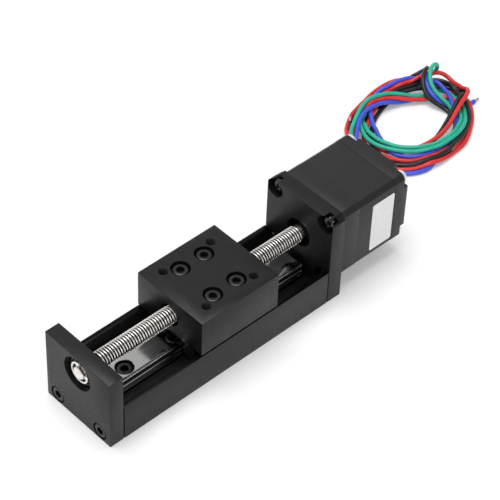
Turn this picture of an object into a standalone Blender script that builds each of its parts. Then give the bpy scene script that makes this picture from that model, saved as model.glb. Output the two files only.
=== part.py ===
"""Motorised miniature linear stage: a black channel base with a profile rail, a carriage driven by a
fine-pitch lead screw, and a small stepper motor whose four leads lie coiled behind it.

Axes: X across the stage, Y along the travel from the free end to the motor, Z up.
The origin is the middle of the base channel's underside.  Metres.
"""
import math

import bmesh
import bpy
from mathutils import Matrix, Vector

MM = 0.001

# Fits
SEAT_GAP = 0.3 * MM            # between two pieces that rest on each other
FIT_GAP = 0.2 * MM             # round the small turned pieces
EDGE_BREAK = 0.25 * MM         # chamfer that breaks the edges of the machined blocks

# Base channel
STAGE_WIDTH = 30.0 * MM
BASE_LENGTH = 86.8 * MM
BASE_HEIGHT = 13.7 * MM
BASE_WALL = 2.0 * MM
BASE_FLOOR = 5.4 * MM
RAIL_SLOT_FLOOR = 3.7 * MM
FOOT_HOLE_PITCH_X = 20.0 * MM
FOOT_HOLE_PITCH_Y = 60.0 * MM

# Free end plate
END_PLATE_THICKNESS = 5.5 * MM
END_PLATE_HEIGHT = 28.0 * MM
END_PLATE_LIP = 0.6 * MM       # web behind the bearing
BEARING_POCKET_RADIUS = 6.1 * MM
BEARING_POCKET_DEPTH = 0.9 * MM

# Motor plate
MOTOR_PLATE_THICKNESS = 5.8 * MM
MOTOR_PLATE_HEIGHT = 35.8 * MM
MOTOR_PLATE_CHAMFER = 2.1 * MM
MOTOR_PLATE_BORE_RADIUS = 5.2 * MM
MOTOR_POCKET_RADIUS = 3.45 * MM
MOTOR_POCKET_DEPTH = 3.0 * MM

# Screws that hold the two plates to the base
PLATE_SCREW_INSET = 5.0 * MM   # from the side of the stage
PLATE_SCREW_HEIGHT = 3.3 * MM
PLATE_SCREW_LENGTH = 10.0 * MM
PLATE_COUNTERBORE_RADIUS = 3.0 * MM

# M3 socket head cap screw
CAP_HEAD_RADIUS = 2.72 * MM
CAP_HEAD_HEIGHT = 3.0 * MM
CAP_SHANK_RADIUS = 1.5 * MM
CAP_SOCKET_ACROSS = 2.5 * MM
CAP_SOCKET_DEPTH = 1.6 * MM
CAP_SINK = 0.2 * MM            # how far a cap head lies below its face

# Guide rail
RAIL_WIDTH = 9.0 * MM
RAIL_HEIGHT = 6.5 * MM
RAIL_END_GAP = 1.4 * MM        # from the rail's rear end to the rear of the base
RAIL_HOLE_PITCH = 20.0 * MM
RAIL_HOLES = 4
RAIL_COUNTERBORE_RADIUS = 3.05 * MM
RAIL_COUNTERBORE_DEPTH = 3.5 * MM
RAIL_SCREW_LENGTH = 6.0 * MM
RAIL_TRACK_HEIGHT = 4.5 * MM   # centre of the ball track above the rail's foot
RAIL_TRACK_DEPTH = 0.7 * MM
RAIL_TRACK_HALF = 0.75 * MM
RAIL_WAIST_HEIGHT = 2.6 * MM
RAIL_WAIST_DEPTH = 0.4 * MM
RAIL_EDGE = 0.4 * MM
RAIL_SETBACK = 0.4 * MM        # of the rail's end behind the front of the base

# Rail block
BLOCK_WIDTH = 20.0 * MM
BLOCK_TOP = 10.0 * MM          # above the rail's foot
BLOCK_CLEARANCE = 2.0 * MM     # under the block, above the rail's foot
BLOCK_STEEL_LENGTH = 18.9 * MM
BLOCK_CAP_LENGTH = 4.7 * MM
BLOCK_CAP_INSET = 0.4 * MM
BLOCK_EDGE = 0.6 * MM
RAIL_RUNNING_GAP = 0.4 * MM
CAP_SCREW_RADIUS = 1.1 * MM
CAP_SCREW_HEAD = 0.6 * MM
CAP_SCREW_SHANK = 0.5 * MM
CAP_SCREW_LENGTH = 3.0 * MM
CAP_SCREW_PITCH = 14.6 * MM

# Carriage
CARRIAGE_SETBACK = 37.2 * MM   # from the stage's front face, at rest
CARRIAGE_LENGTH = 32.5 * MM
CARRIAGE_HEIGHT = 14.2 * MM
CARRIAGE_SCREW_PITCH_X = 15.0 * MM
CARRIAGE_SCREW_PITCH_Y = 10.0 * MM
CARRIAGE_SCREW_LENGTH = 14.0 * MM
CARRIAGE_COUNTERBORE_RADIUS = 3.2 * MM
CARRIAGE_BLOCK_THREAD = 2.8 * MM
PAYLOAD_HOLE_PITCH_X = 20.0 * MM
PAYLOAD_HOLE_PITCH_Y = 20.0 * MM
PAYLOAD_HOLE_RADIUS = 1.35 * MM
PAYLOAD_HOLE_DEPTH = 8.0 * MM
CARRIAGE_SCREW_TUNNEL_RADIUS = 4.0 * MM
NUT_RADIUS = 5.0 * MM
NUT_LENGTH = 18.0 * MM

# Lead screw
SCREW_AXIS_HEIGHT = 21.0 * MM
SCREW_RADIUS = 3.0 * MM
SCREW_RUN_RADIUS = 3.3 * MM    # bore of the nut round the screw
JOURNAL_RADIUS = 2.5 * MM
SCREW_END_CLEARANCE = 1.0 * MM # from the end of the thread to the motor plate

# Free end bearing and its clip
BEARING_RADIUS = 5.5 * MM
BEARING_WIDTH = 3.0 * MM
BEARING_OUTER_WALL = 0.95 * MM
BEARING_INNER_WALL = 0.7 * MM
SHIELD_THICKNESS = 0.4 * MM
SHIELD_SINK = 0.25 * MM
CLIP_RADIUS = 3.75 * MM
CLIP_BAND = 0.75 * MM
CLIP_THICKNESS = 0.5 * MM
CLIP_GROOVE_RADIUS = 2.0 * MM
SHAFT_NOSE = 0.9 * MM          # of the shaft in front of the clip

# Stepper motor
MOTOR_SIZE = 28.0 * MM
MOTOR_CHAMFER = 1.6 * MM
MOTOR_HOLE_PITCH = 23.0 * MM
MOTOR_BELL_LENGTH = 7.0 * MM
MOTOR_STATOR_LENGTH = 16.3 * MM
MOTOR_REAR_LENGTH = 5.7 * MM
MOTOR_STATOR_INSET = 0.15 * MM
MOTOR_PILOT_RADIUS = 11.0 * MM
MOTOR_PILOT_LENGTH = 2.0 * MM
MOTOR_REAR_POCKET = 5.4 * MM
MOTOR_REAR_POCKET_DEPTH = 1.8 * MM
MOTOR_REAR_DISH_RADIUS = 5.0 * MM
MOTOR_REAR_DISH_DEPTH = 0.6 * MM
MOTOR_BEARING_RADIUS = 4.6 * MM
MOTOR_BEARING_WIDTH = 2.5 * MM
MOTOR_ROTOR_RADIUS = 7.2 * MM
MOTOR_ROTOR_SHORT = 0.5 * MM   # how far each end of the rotor stands inside the stator

# M2.5 pan head screws of the motor
PAN_HEAD_RADIUS = 2.3 * MM
PAN_HEAD_HEIGHT = 1.5 * MM
PAN_SHANK_RADIUS = 1.25 * MM
PAN_MOUNT_LENGTH = 7.0 * MM
PAN_TIE_LENGTH = 23.0 * MM
PAN_CROSS_LENGTH = 2.6 * MM
PAN_CROSS_WIDTH = 0.6 * MM
PAN_CROSS_DEPTH = 0.8 * MM

# Leads
LEAD_RADIUS = 0.8 * MM
LEAD_PITCH = 2.1 * MM          # at the grommet
LEAD_SPREAD = 2.4 * MM         # where the leads come down
LEAD_STEP = 3.4 * MM           # between the points of a lead's curve
GROMMET_DEPTH = 3.6 * MM       # along the motor
GROMMET_HEIGHT = 9.2 * MM
GROMMET_THICKNESS = 1.9 * MM
GROMMET_PROUD = 0.9 * MM
GROMMET_SETBACK = 3.0 * MM     # from the front of the rear bell to the grommet's middle
COIL_ASIDE = 26.9 * MM         # of the coil's middle, to the left
COIL_BEHIND = 47.7 * MM        # of the coil's middle, behind the motor
COIL_TILT = 7.0                # degrees of the coil's long way off the travel
COIL_LONG = 28.3 * MM          # outer half length
COIL_SHORT = 19.5 * MM         # outer half width
COIL_HOLE_LONG = 15.5 * MM
COIL_HOLE_SHORT = 12.4 * MM
COIL_HEIGHT = 5.2 * MM
COIL_EDGE = 1.3 * MM
COIL_ENTRY = 165.0             # degrees round the coil, from its far end, where the leads reach it
COIL_ENTRY_STEP = 6.8          # degrees from one lead to the next

# Roundness of the turned pieces
FINE = 32
MEDIUM = 20
SMALL = 12

# Stations along the stage
BASE_FRONT = -BASE_LENGTH / 2
BASE_REAR = BASE_LENGTH / 2
STAGE_FRONT = BASE_FRONT - SEAT_GAP - END_PLATE_THICKNESS
PLATE_FRONT = BASE_REAR + SEAT_GAP
PLATE_REAR = PLATE_FRONT + MOTOR_PLATE_THICKNESS
MOTOR_FRONT = PLATE_REAR + SEAT_GAP
STATOR_FRONT = MOTOR_FRONT + MOTOR_BELL_LENGTH + SEAT_GAP
STATOR_REAR = STATOR_FRONT + MOTOR_STATOR_LENGTH
REAR_BELL_FRONT = STATOR_REAR + SEAT_GAP
MOTOR_REAR = REAR_BELL_FRONT + MOTOR_REAR_LENGTH
RAIL_FRONT = BASE_FRONT + RAIL_SETBACK
RAIL_LENGTH = BASE_LENGTH - RAIL_SETBACK - RAIL_END_GAP
CARRIAGE_FRONT = STAGE_FRONT + CARRIAGE_SETBACK
CARRIAGE_MIDDLE = CARRIAGE_FRONT + CARRIAGE_LENGTH / 2
CARRIAGE_REAR = CARRIAGE_FRONT + CARRIAGE_LENGTH
BEARING_REAR = STAGE_FRONT + END_PLATE_THICKNESS - END_PLATE_LIP - FIT_GAP
BEARING_FRONT = BEARING_REAR - BEARING_WIDTH
CLIP_REAR = BEARING_FRONT - FIT_GAP

# Levels
RAIL_FOOT = RAIL_SLOT_FLOOR + SEAT_GAP
RAIL_TOP = RAIL_FOOT + RAIL_HEIGHT
BLOCK_TOP_LEVEL = RAIL_FOOT + BLOCK_TOP
CARRIAGE_BOTTOM = BLOCK_TOP_LEVEL + SEAT_GAP
CARRIAGE_TOP = CARRIAGE_BOTTOM + CARRIAGE_HEIGHT

FRONTWARD = Vector((0, -1, 0))
REARWARD = Vector((0, 1, 0))
UPWARD = Vector((0, 0, 1))


def clear_scene():
    for obj in list(bpy.data.objects):
        bpy.data.objects.remove(obj, do_unlink=True)


def new_collection(name):
    collection = bpy.data.collections.new(name)
    bpy.context.scene.collection.children.link(collection)
    return collection


clear_scene()
PARTS = new_collection("xyz_linear_stage")
CUTTERS = new_collection("stage_cutters")


def material(name, colour, metallic, roughness):
    mat = bpy.data.materials.new(name)
    mat.use_nodes = True
    shader = mat.node_tree.nodes["Principled BSDF"]
    shader.inputs["Base Color"].default_value = (*colour, 1.0)
    shader.inputs["Metallic"].default_value = metallic
    shader.inputs["Roughness"].default_value = roughness
    return mat


def black_anodised(name):
    return material(name, (0.035, 0.036, 0.038), 0.6, 0.42)


def bright_steel(name):
    return material(name, (0.62, 0.61, 0.59), 1.0, 0.25)


def black_oxide(name):
    return material(name, (0.02, 0.02, 0.022), 0.7, 0.4)


def add_part(name, mesh, mat):
    """Link a mesh to the stage as one named piece."""
    obj = bpy.data.objects.new(name, mesh)
    mesh.materials.clear()
    mesh.materials.append(mat)
    PARTS.objects.link(obj)
    return obj


def finish_mesh(mesh, angle=35.0):
    mesh.shade_smooth()
    mesh.set_sharp_from_angle(angle=math.radians(angle))
    return mesh


def evaluated_mesh(obj, weld=True):
    """The mesh an object shows, as plain geometry in the object's own frame."""
    depsgraph = bpy.context.evaluated_depsgraph_get()
    mesh = bpy.data.meshes.new_from_object(obj.evaluated_get(depsgraph))
    if weld:
        bm = bmesh.new()
        bm.from_mesh(mesh)
        bmesh.ops.remove_doubles(bm, verts=bm.verts, dist=1e-6)
        bm.to_mesh(mesh)
        bm.free()
    return mesh


def transformed(mesh, matrix):
    mesh.transform(matrix)
    return mesh


def turned_mesh(profile, segments):
    """Revolve (radius, height) points, listed down the outer side, about Z."""
    mesh = bpy.data.meshes.new("profile")
    count = len(profile)
    closed = profile[0][0] > 0 and profile[-1][0] > 0
    edges = [(i, i + 1) for i in range(count - 1)]
    if closed:
        edges.append((count - 1, 0))
    mesh.from_pydata([(r, 0, h) for r, h in profile], edges, [])
    obj = bpy.data.objects.new("profile", mesh)
    bpy.context.scene.collection.objects.link(obj)
    screw = obj.modifiers.new("turn", "SCREW")
    screw.axis = "Z"
    screw.steps = segments
    screw.render_steps = segments
    screw.use_merge_vertices = True
    screw.merge_threshold = 1e-6
    result = evaluated_mesh(obj)
    bpy.data.objects.remove(obj, do_unlink=True)
    return result


def filled_mesh(outlines, depth):
    """Extrude closed (x, y) outlines, the inner ones being holes, along Z; centred on Z = 0."""
    curve = bpy.data.curves.new("outline", "CURVE")
    curve.dimensions = "2D"
    curve.fill_mode = "BOTH"
    curve.extrude = depth / 2
    for outline in outlines:
        spline = curve.splines.new("POLY")
        spline.points.add(len(outline) - 1)
        for point, (x, y) in zip(spline.points, outline):
            point.co = (x, y, 0, 1)
        spline.use_cyclic_u = True
    obj = bpy.data.objects.new("outline", curve)
    bpy.context.scene.collection.objects.link(obj)
    result = evaluated_mesh(obj)
    bpy.data.objects.remove(obj, do_unlink=True)
    return result


def extruded_mesh(outline, depth):
    """Extrude a closed (x, z) outline along Y, centred on Y = 0."""
    return transformed(filled_mesh([outline], depth), Matrix.Rotation(math.pi / 2, 4, "X"))


def box_mesh(x, y, z):
    """A box from three (low, high) pairs."""
    bm = bmesh.new()
    bmesh.ops.create_cube(bm, size=1.0)
    size = Vector((x[1] - x[0], y[1] - y[0], z[1] - z[0]))
    centre = Vector(((x[0] + x[1]) / 2, (y[0] + y[1]) / 2, (z[0] + z[1]) / 2))
    bmesh.ops.scale(bm, vec=size, verts=bm.verts)
    bmesh.ops.translate(bm, vec=centre, verts=bm.verts)
    mesh = bpy.data.meshes.new("box")
    bm.to_mesh(mesh)
    bm.free()
    return mesh


def cylinder_mesh(radius, low, high, segments):
    """An upright cylinder with flat caps, from one level to another."""
    bm = bmesh.new()
    bmesh.ops.create_cone(bm, cap_ends=True, segments=segments, radius1=radius, radius2=radius, depth=high - low)
    bmesh.ops.translate(bm, vec=(0, 0, (low + high) / 2), verts=bm.verts)
    mesh = bpy.data.meshes.new("cylinder")
    bm.to_mesh(mesh)
    bm.free()
    return mesh


def joined_copies(mesh, matrices):
    """One mesh that holds a separate copy of a shape at each place."""
    bm = bmesh.new()
    for matrix in matrices:
        copy = mesh.copy()
        copy.transform(matrix)
        bm.from_mesh(copy)
        bpy.data.meshes.remove(copy)
    result = bpy.data.meshes.new("copies")
    bm.to_mesh(result)
    bm.free()
    return result


def pointing(direction, place):
    """The matrix that stands a turned shape at a place with its top towards a direction."""
    turn = Vector(direction).to_track_quat("Z", "Y").to_matrix().to_4x4()
    return Matrix.Translation(Vector(place)) @ turn


def mirrored_outline(path):
    """Close the right half of an outline, listed once round, with its mirror image."""
    return list(path) + [(-x, z) for x, z in reversed(path)]


def chamfered_rectangle(x, z, corner, corners="tb"):
    """An upright rectangle from two (low, high) pairs, with chamfered top or bottom corners."""
    (x0, x1), (z0, z1) = x, z
    bottom = corner if "b" in corners else 0
    top = corner if "t" in corners else 0
    points = [(x0 + bottom, z0), (x1 - bottom, z0)]
    if bottom:
        points.append((x1, z0 + bottom))
    points.append((x1, z1 - top))
    if top:
        points += [(x1 - top, z1), (x0 + top, z1)]
    else:
        points.append((x0, z1))
    if top:
        points.append((x0, z1 - top))
    if bottom:
        points.append((x0, z0 + bottom))
    return points


def cutter(name, mesh):
    obj = bpy.data.objects.new(name, mesh)
    mesh.name = name
    obj.hide_render = True
    obj.display_type = "WIRE"
    CUTTERS.objects.link(obj)
    return obj


def cut(obj, tool):
    modifier = obj.modifiers.new(tool.name, "BOOLEAN")
    modifier.operation = "DIFFERENCE"
    modifier.solver = "EXACT"
    modifier.object = tool


def break_edges(obj, width=EDGE_BREAK, segments=1):
    bevel = obj.modifiers.new("edges", "BEVEL")
    bevel.width = width
    bevel.segments = segments
    bevel.limit_method = "ANGLE"
    bevel.angle_limit = math.radians(50)


def stepped_hole(steps, over=1.0 * MM):
    """A drill for a stepped hole: (radius, depth) steps below a mouth at height zero."""
    profile = [(0, over), (steps[0][0], over)]
    for (radius, depth), following in zip(steps, steps[1:] + [None]):
        profile.append((radius, -depth))
        if following:
            profile.append((following[0], -depth))
    profile.append((0, -steps[-1][1]))
    return profile


def drill(obj, name, steps, direction, places, segments=SMALL):
    tool = turned_mesh(stepped_hole(steps), segments)
    cut(obj, cutter(name, joined_copies(tool, [pointing(direction, place) for place in places])))


def cap_screw_mesh(length):
    """A socket head cap screw, its head's underside at height zero and its head upwards."""
    chamfer = 0.25 * MM
    profile = [(0, CAP_HEAD_HEIGHT), (CAP_HEAD_RADIUS - chamfer, CAP_HEAD_HEIGHT),
               (CAP_HEAD_RADIUS, CAP_HEAD_HEIGHT - chamfer), (CAP_HEAD_RADIUS, 0),
               (CAP_SHANK_RADIUS, 0), (CAP_SHANK_RADIUS, -length + chamfer),
               (CAP_SHANK_RADIUS - chamfer, -length), (0, -length)]
    body = bpy.data.objects.new("screw", turned_mesh(profile, SMALL))
    socket_radius = CAP_SOCKET_ACROSS / math.sqrt(3)
    socket_profile = [(0, CAP_HEAD_HEIGHT + MM), (socket_radius, CAP_HEAD_HEIGHT + MM),
                      (socket_radius, CAP_HEAD_HEIGHT - CAP_SOCKET_DEPTH),
                      (0, CAP_HEAD_HEIGHT - CAP_SOCKET_DEPTH)]
    socket = bpy.data.objects.new("socket", turned_mesh(socket_profile, 6))
    return subtracted(body, [socket])


def subtracted(body, tools):
    """The plain mesh of a body with some tools taken out; the loose objects are removed."""
    for obj in (body, *tools):
        bpy.context.scene.collection.objects.link(obj)
    for tool in tools:
        cut(body, tool)
    result = evaluated_mesh(body)
    for obj in (body, *tools):
        bpy.data.objects.remove(obj, do_unlink=True)
    return result


def pan_screw_mesh(length):
    """A pan head screw with a cross recess, its head's underside at height zero."""
    crown = 0.55 * MM
    profile = [(0, PAN_HEAD_HEIGHT), (PAN_HEAD_RADIUS * 0.55, PAN_HEAD_HEIGHT - 0.12 * MM),
               (PAN_HEAD_RADIUS - 0.25 * MM, PAN_HEAD_HEIGHT - crown),
               (PAN_HEAD_RADIUS, PAN_HEAD_HEIGHT - 2 * crown), (PAN_HEAD_RADIUS, 0),
               (PAN_SHANK_RADIUS, 0), (PAN_SHANK_RADIUS, -length), (0, -length)]
    body = bpy.data.objects.new("screw", turned_mesh(profile, SMALL))
    half, arm = PAN_CROSS_WIDTH / 2, PAN_CROSS_LENGTH / 2
    depth = (PAN_HEAD_HEIGHT - PAN_CROSS_DEPTH, PAN_HEAD_HEIGHT + MM)
    along = bpy.data.objects.new("cross_x", box_mesh((-arm, arm), (-half, half), depth))
    across = bpy.data.objects.new("cross_y", box_mesh((-half, half), (-arm, arm), depth))
    return subtracted(body, [along, across])


def grid(pitch_x, pitch_y, centre_x, centre_y):
    return [(centre_x + sx * pitch_x / 2, centre_y + sy * pitch_y / 2) for sx in (-1, 1) for sy in (-1, 1)]


def add_turned(name, mesh, direction, place, mat):
    """One turned piece, stood at its place with its top towards a direction."""
    obj = add_part(name, finish_mesh(mesh), mat)
    obj.matrix_world = pointing(direction, place)
    return obj


def add_set(name, mesh, stands, mat):
    """Identical pieces that share one mesh, each at its own (direction, place)."""
    finish_mesh(mesh)
    return [add_turned(f"{name}_{number}", mesh, direction, place, mat)
            for number, (direction, place) in enumerate(stands, 1)]


def facing(direction, places):
    return [(direction, place) for place in places]


CAP_CLEAR = CAP_SHANK_RADIUS + SEAT_GAP
PAN_CLEAR = PAN_SHANK_RADIUS + SEAT_GAP
HEAD_SEAT = CAP_SINK + CAP_HEAD_HEIGHT + SEAT_GAP     # depth of a cap screw's counterbore


def plate_screw_places(station):
    across = STAGE_WIDTH / 2 - PLATE_SCREW_INSET
    return [(side * across, station, PLATE_SCREW_HEIGHT) for side in (-1, 1)]


def rail_hole_places(level):
    run = RAIL_HOLE_PITCH * (RAIL_HOLES - 1)
    first = RAIL_FRONT + (RAIL_LENGTH - run) / 2
    return [(0, first + i * RAIL_HOLE_PITCH, level) for i in range(RAIL_HOLES)]


def motor_hole_places(station):
    return [(x, station, z) for x, z in grid(MOTOR_HOLE_PITCH, MOTOR_HOLE_PITCH, 0, SCREW_AXIS_HEIGHT)]


def build_base():
    half, slot = STAGE_WIDTH / 2, RAIL_WIDTH / 2 + SEAT_GAP
    inner = half - BASE_WALL
    path = [(half, 0), (half, BASE_HEIGHT), (inner, BASE_HEIGHT), (inner, BASE_FLOOR),
            (slot, BASE_FLOOR), (slot, RAIL_SLOT_FLOOR)]
    mesh = extruded_mesh(mirrored_outline(path), BASE_LENGTH)
    base = add_part("base_channel", finish_mesh(mesh), black_anodised("channel_black"))
    through = BASE_FLOOR + MM
    drill(base, "rail_thread_holes", [(CAP_CLEAR, RAIL_SLOT_FLOOR + MM)], UPWARD,
          rail_hole_places(RAIL_SLOT_FLOOR))
    feet = [(x, y, BASE_FLOOR) for x, y in grid(FOOT_HOLE_PITCH_X, FOOT_HOLE_PITCH_Y, 0, 0)]
    drill(base, "foot_holes", [(CAP_SHANK_RADIUS, through)], UPWARD, feet)
    depth = PLATE_SCREW_LENGTH
    drill(base, "front_thread_holes", [(CAP_CLEAR, depth)], FRONTWARD, plate_screw_places(BASE_FRONT))
    drill(base, "rear_thread_holes", [(CAP_CLEAR, depth)], REARWARD, plate_screw_places(BASE_REAR))
    return base


def build_end_plate():
    half = STAGE_WIDTH / 2
    mesh = box_mesh((-half, half), (STAGE_FRONT, STAGE_FRONT + END_PLATE_THICKNESS), (0, END_PLATE_HEIGHT))
    plate = add_part("free_end_plate", finish_mesh(mesh), black_anodised("end_plate_black"))
    break_edges(plate)
    seat = END_PLATE_THICKNESS - END_PLATE_LIP
    lip_radius = BEARING_RADIUS - BEARING_OUTER_WALL
    drill(plate, "bearing_seat", [(BEARING_POCKET_RADIUS, BEARING_POCKET_DEPTH),
                                  (BEARING_RADIUS + FIT_GAP, seat), (lip_radius, END_PLATE_THICKNESS + MM)],
          FRONTWARD, [(0, STAGE_FRONT, SCREW_AXIS_HEIGHT)], FINE)
    drill(plate, "end_plate_screw_holes", [(PLATE_COUNTERBORE_RADIUS, HEAD_SEAT),
                                           (CAP_CLEAR, END_PLATE_THICKNESS + MM)],
          FRONTWARD, plate_screw_places(STAGE_FRONT), MEDIUM)
    return plate


def build_motor_plate():
    half = STAGE_WIDTH / 2
    outline = chamfered_rectangle((-half, half), (0, MOTOR_PLATE_HEIGHT), MOTOR_PLATE_CHAMFER, "t")
    mesh = extruded_mesh(outline, MOTOR_PLATE_THICKNESS)
    transformed(mesh, Matrix.Translation((0, (PLATE_FRONT + PLATE_REAR) / 2, 0)))
    plate = add_part("motor_plate", finish_mesh(mesh), black_anodised("motor_plate_black"))
    pilot = MOTOR_PILOT_LENGTH + SEAT_GAP
    axis = [(0, PLATE_REAR, SCREW_AXIS_HEIGHT)]
    drill(plate, "pilot_recess", [(MOTOR_PILOT_RADIUS + SEAT_GAP, pilot),
                                  (MOTOR_PLATE_BORE_RADIUS, MOTOR_PLATE_THICKNESS + MM)],
          REARWARD, axis, FINE)
    drill(plate, "motor_screw_pockets", [(MOTOR_POCKET_RADIUS, MOTOR_POCKET_DEPTH),
                                         (PAN_CLEAR, MOTOR_PLATE_THICKNESS + MM)],
          FRONTWARD, motor_hole_places(PLATE_FRONT), MEDIUM)
    drill(plate, "motor_plate_screw_holes", [(PLATE_COUNTERBORE_RADIUS, HEAD_SEAT),
                                             (CAP_CLEAR, MOTOR_PLATE_THICKNESS + MM)],
          REARWARD, plate_screw_places(PLATE_REAR), MEDIUM)
    return plate


def rail_outline():
    """Half of the rail's section: foot, waist, ball track and chamfered top."""
    half = RAIL_WIDTH / 2
    track, waist = RAIL_TRACK_HEIGHT, RAIL_WAIST_HEIGHT
    path = [(half - RAIL_EDGE / 2, 0), (half, RAIL_EDGE / 2), (half, waist - RAIL_WAIST_DEPTH),
            (half - RAIL_WAIST_DEPTH, waist), (half - RAIL_WAIST_DEPTH, waist + RAIL_WAIST_DEPTH),
            (half, waist + 2 * RAIL_WAIST_DEPTH)]
    for step in range(5):
        angle = -math.pi / 2 + math.pi * step / 4
        path.append((half - RAIL_TRACK_DEPTH * math.cos(angle), track + RAIL_TRACK_HALF * math.sin(angle)))
    path += [(half, RAIL_HEIGHT - RAIL_EDGE), (half - RAIL_EDGE, RAIL_HEIGHT)]
    return mirrored_outline(path)


def build_rail():
    mesh = extruded_mesh(rail_outline(), RAIL_LENGTH)
    transformed(mesh, Matrix.Translation((0, RAIL_FRONT + RAIL_LENGTH / 2, RAIL_FOOT)))
    rail = add_part("guide_rail", finish_mesh(mesh), bright_steel("rail_steel"))
    drill(rail, "rail_screw_holes", [(RAIL_COUNTERBORE_RADIUS, RAIL_COUNTERBORE_DEPTH),
                                     (CAP_CLEAR, RAIL_HEIGHT + MM)],
          UPWARD, rail_hole_places(RAIL_TOP), MEDIUM)
    seat = RAIL_TOP - RAIL_COUNTERBORE_DEPTH + SEAT_GAP
    add_set("rail_screw", cap_screw_mesh(RAIL_SCREW_LENGTH), facing(UPWARD, rail_hole_places(seat)),
            black_oxide("rail_screw_black"))
    return rail


def block_outline(inset=0.0):
    """Half of the rail block's section, a saddle whose legs reach into the ball tracks."""
    gap = RAIL_RUNNING_GAP
    half, outer = RAIL_WIDTH / 2 + gap, BLOCK_WIDTH / 2 - inset
    track = RAIL_TRACK_HEIGHT
    reach = RAIL_TRACK_DEPTH - gap / 2
    nose = RAIL_TRACK_HALF - gap
    top, bottom = BLOCK_TOP - inset, BLOCK_CLEARANCE + inset
    path = [(half, RAIL_HEIGHT + gap), (half, track + nose + reach),
            (half - reach, track + nose / 2), (half - reach, track - nose / 2), (half, track - nose - reach),
            (half, bottom), (outer - BLOCK_EDGE, bottom), (outer, bottom + BLOCK_EDGE),
            (outer, top - BLOCK_EDGE), (outer - BLOCK_EDGE, top)]
    return mirrored_outline(path)


def build_rail_block():
    mesh = extruded_mesh(block_outline(), BLOCK_STEEL_LENGTH)
    transformed(mesh, Matrix.Translation((0, CARRIAGE_MIDDLE, RAIL_FOOT)))
    block = add_part("rail_block", finish_mesh(mesh), material("block_steel", (0.5, 0.5, 0.49), 1.0, 0.3))
    tops = [(x, y, BLOCK_TOP_LEVEL) for x, y in
            grid(CARRIAGE_SCREW_PITCH_X, CARRIAGE_SCREW_PITCH_Y, 0, CARRIAGE_MIDDLE)]
    drill(block, "block_thread_holes", [(CAP_CLEAR, CARRIAGE_BLOCK_THREAD + SEAT_GAP)], UPWARD, tops)

    mat = material("end_cap_plastic", (0.025, 0.026, 0.027), 0.0, 0.5)
    build_end_cap("rail_block_front_cap", FRONTWARD, mat)
    build_end_cap("rail_block_rear_cap", REARWARD, mat)
    return block


def end_cap_screw_places(face):
    """Where an end cap's two screws sit, on the face that looks along the rail."""
    level = RAIL_FOOT + (BLOCK_TOP + RAIL_HEIGHT) / 2 - 0.2 * MM
    return [(side * CAP_SCREW_PITCH / 2, face, level) for side in (-1, 1)]


def build_end_cap(name, direction, mat):
    """The plastic cap that turns the balls round at one end of the rail block."""
    sense = direction.y
    middle = CARRIAGE_MIDDLE + sense * (BLOCK_STEEL_LENGTH / 2 + SEAT_GAP + BLOCK_CAP_LENGTH / 2)
    face = middle + sense * BLOCK_CAP_LENGTH / 2
    mesh = extruded_mesh(block_outline(BLOCK_CAP_INSET), BLOCK_CAP_LENGTH)
    cap = add_part(name, finish_mesh(transformed(mesh, Matrix.Translation((0, middle, RAIL_FOOT)))), mat)
    drill(cap, name + "_holes", [(CAP_SCREW_SHANK + FIT_GAP, CAP_SCREW_LENGTH + SEAT_GAP)], direction,
          end_cap_screw_places(face), 8)
    places = end_cap_screw_places(face + sense * FIT_GAP)
    add_set(name + "_screw", end_cap_screw_mesh(), facing(direction, places),
            bright_steel(name + "_screw_steel"))


def end_cap_screw_mesh():
    head, shank = CAP_SCREW_HEAD, CAP_SCREW_SHANK
    profile = [(0, head), (CAP_SCREW_RADIUS * 0.7, head), (CAP_SCREW_RADIUS, head / 2), (CAP_SCREW_RADIUS, 0),
               (shank, 0), (shank, -CAP_SCREW_LENGTH), (0, -CAP_SCREW_LENGTH)]
    return turned_mesh(profile, 8)


def build_carriage():
    half = STAGE_WIDTH / 2
    mesh = box_mesh((-half, half), (CARRIAGE_FRONT, CARRIAGE_REAR), (CARRIAGE_BOTTOM, CARRIAGE_TOP))
    carriage = add_part("carriage", finish_mesh(mesh), black_anodised("carriage_black"))
    break_edges(carriage)
    holes = grid(CARRIAGE_SCREW_PITCH_X, CARRIAGE_SCREW_PITCH_Y, 0, CARRIAGE_MIDDLE)
    drill(carriage, "carriage_screw_holes", [(CARRIAGE_COUNTERBORE_RADIUS, HEAD_SEAT),
                                             (CAP_CLEAR, CARRIAGE_HEIGHT + MM)],
          UPWARD, [(x, y, CARRIAGE_TOP) for x, y in holes], MEDIUM)
    payload = grid(PAYLOAD_HOLE_PITCH_X, PAYLOAD_HOLE_PITCH_Y, 0, CARRIAGE_MIDDLE)
    drill(carriage, "payload_holes", [(PAYLOAD_HOLE_RADIUS, PAYLOAD_HOLE_DEPTH)], UPWARD,
          [(x, y, CARRIAGE_TOP) for x, y in payload])
    axis = [(0, CARRIAGE_REAR, SCREW_AXIS_HEIGHT)]
    drill(carriage, "nut_bore", [(NUT_RADIUS + FIT_GAP, NUT_LENGTH + SEAT_GAP),
                                 (CARRIAGE_SCREW_TUNNEL_RADIUS, CARRIAGE_LENGTH + MM)], REARWARD, axis, MEDIUM)
    seat = CARRIAGE_TOP - HEAD_SEAT + SEAT_GAP
    add_set("carriage_screw", cap_screw_mesh(CARRIAGE_SCREW_LENGTH),
            facing(UPWARD, [(x, y, seat) for x, y in holes]), black_oxide("carriage_screw_black"))
    return carriage


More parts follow.
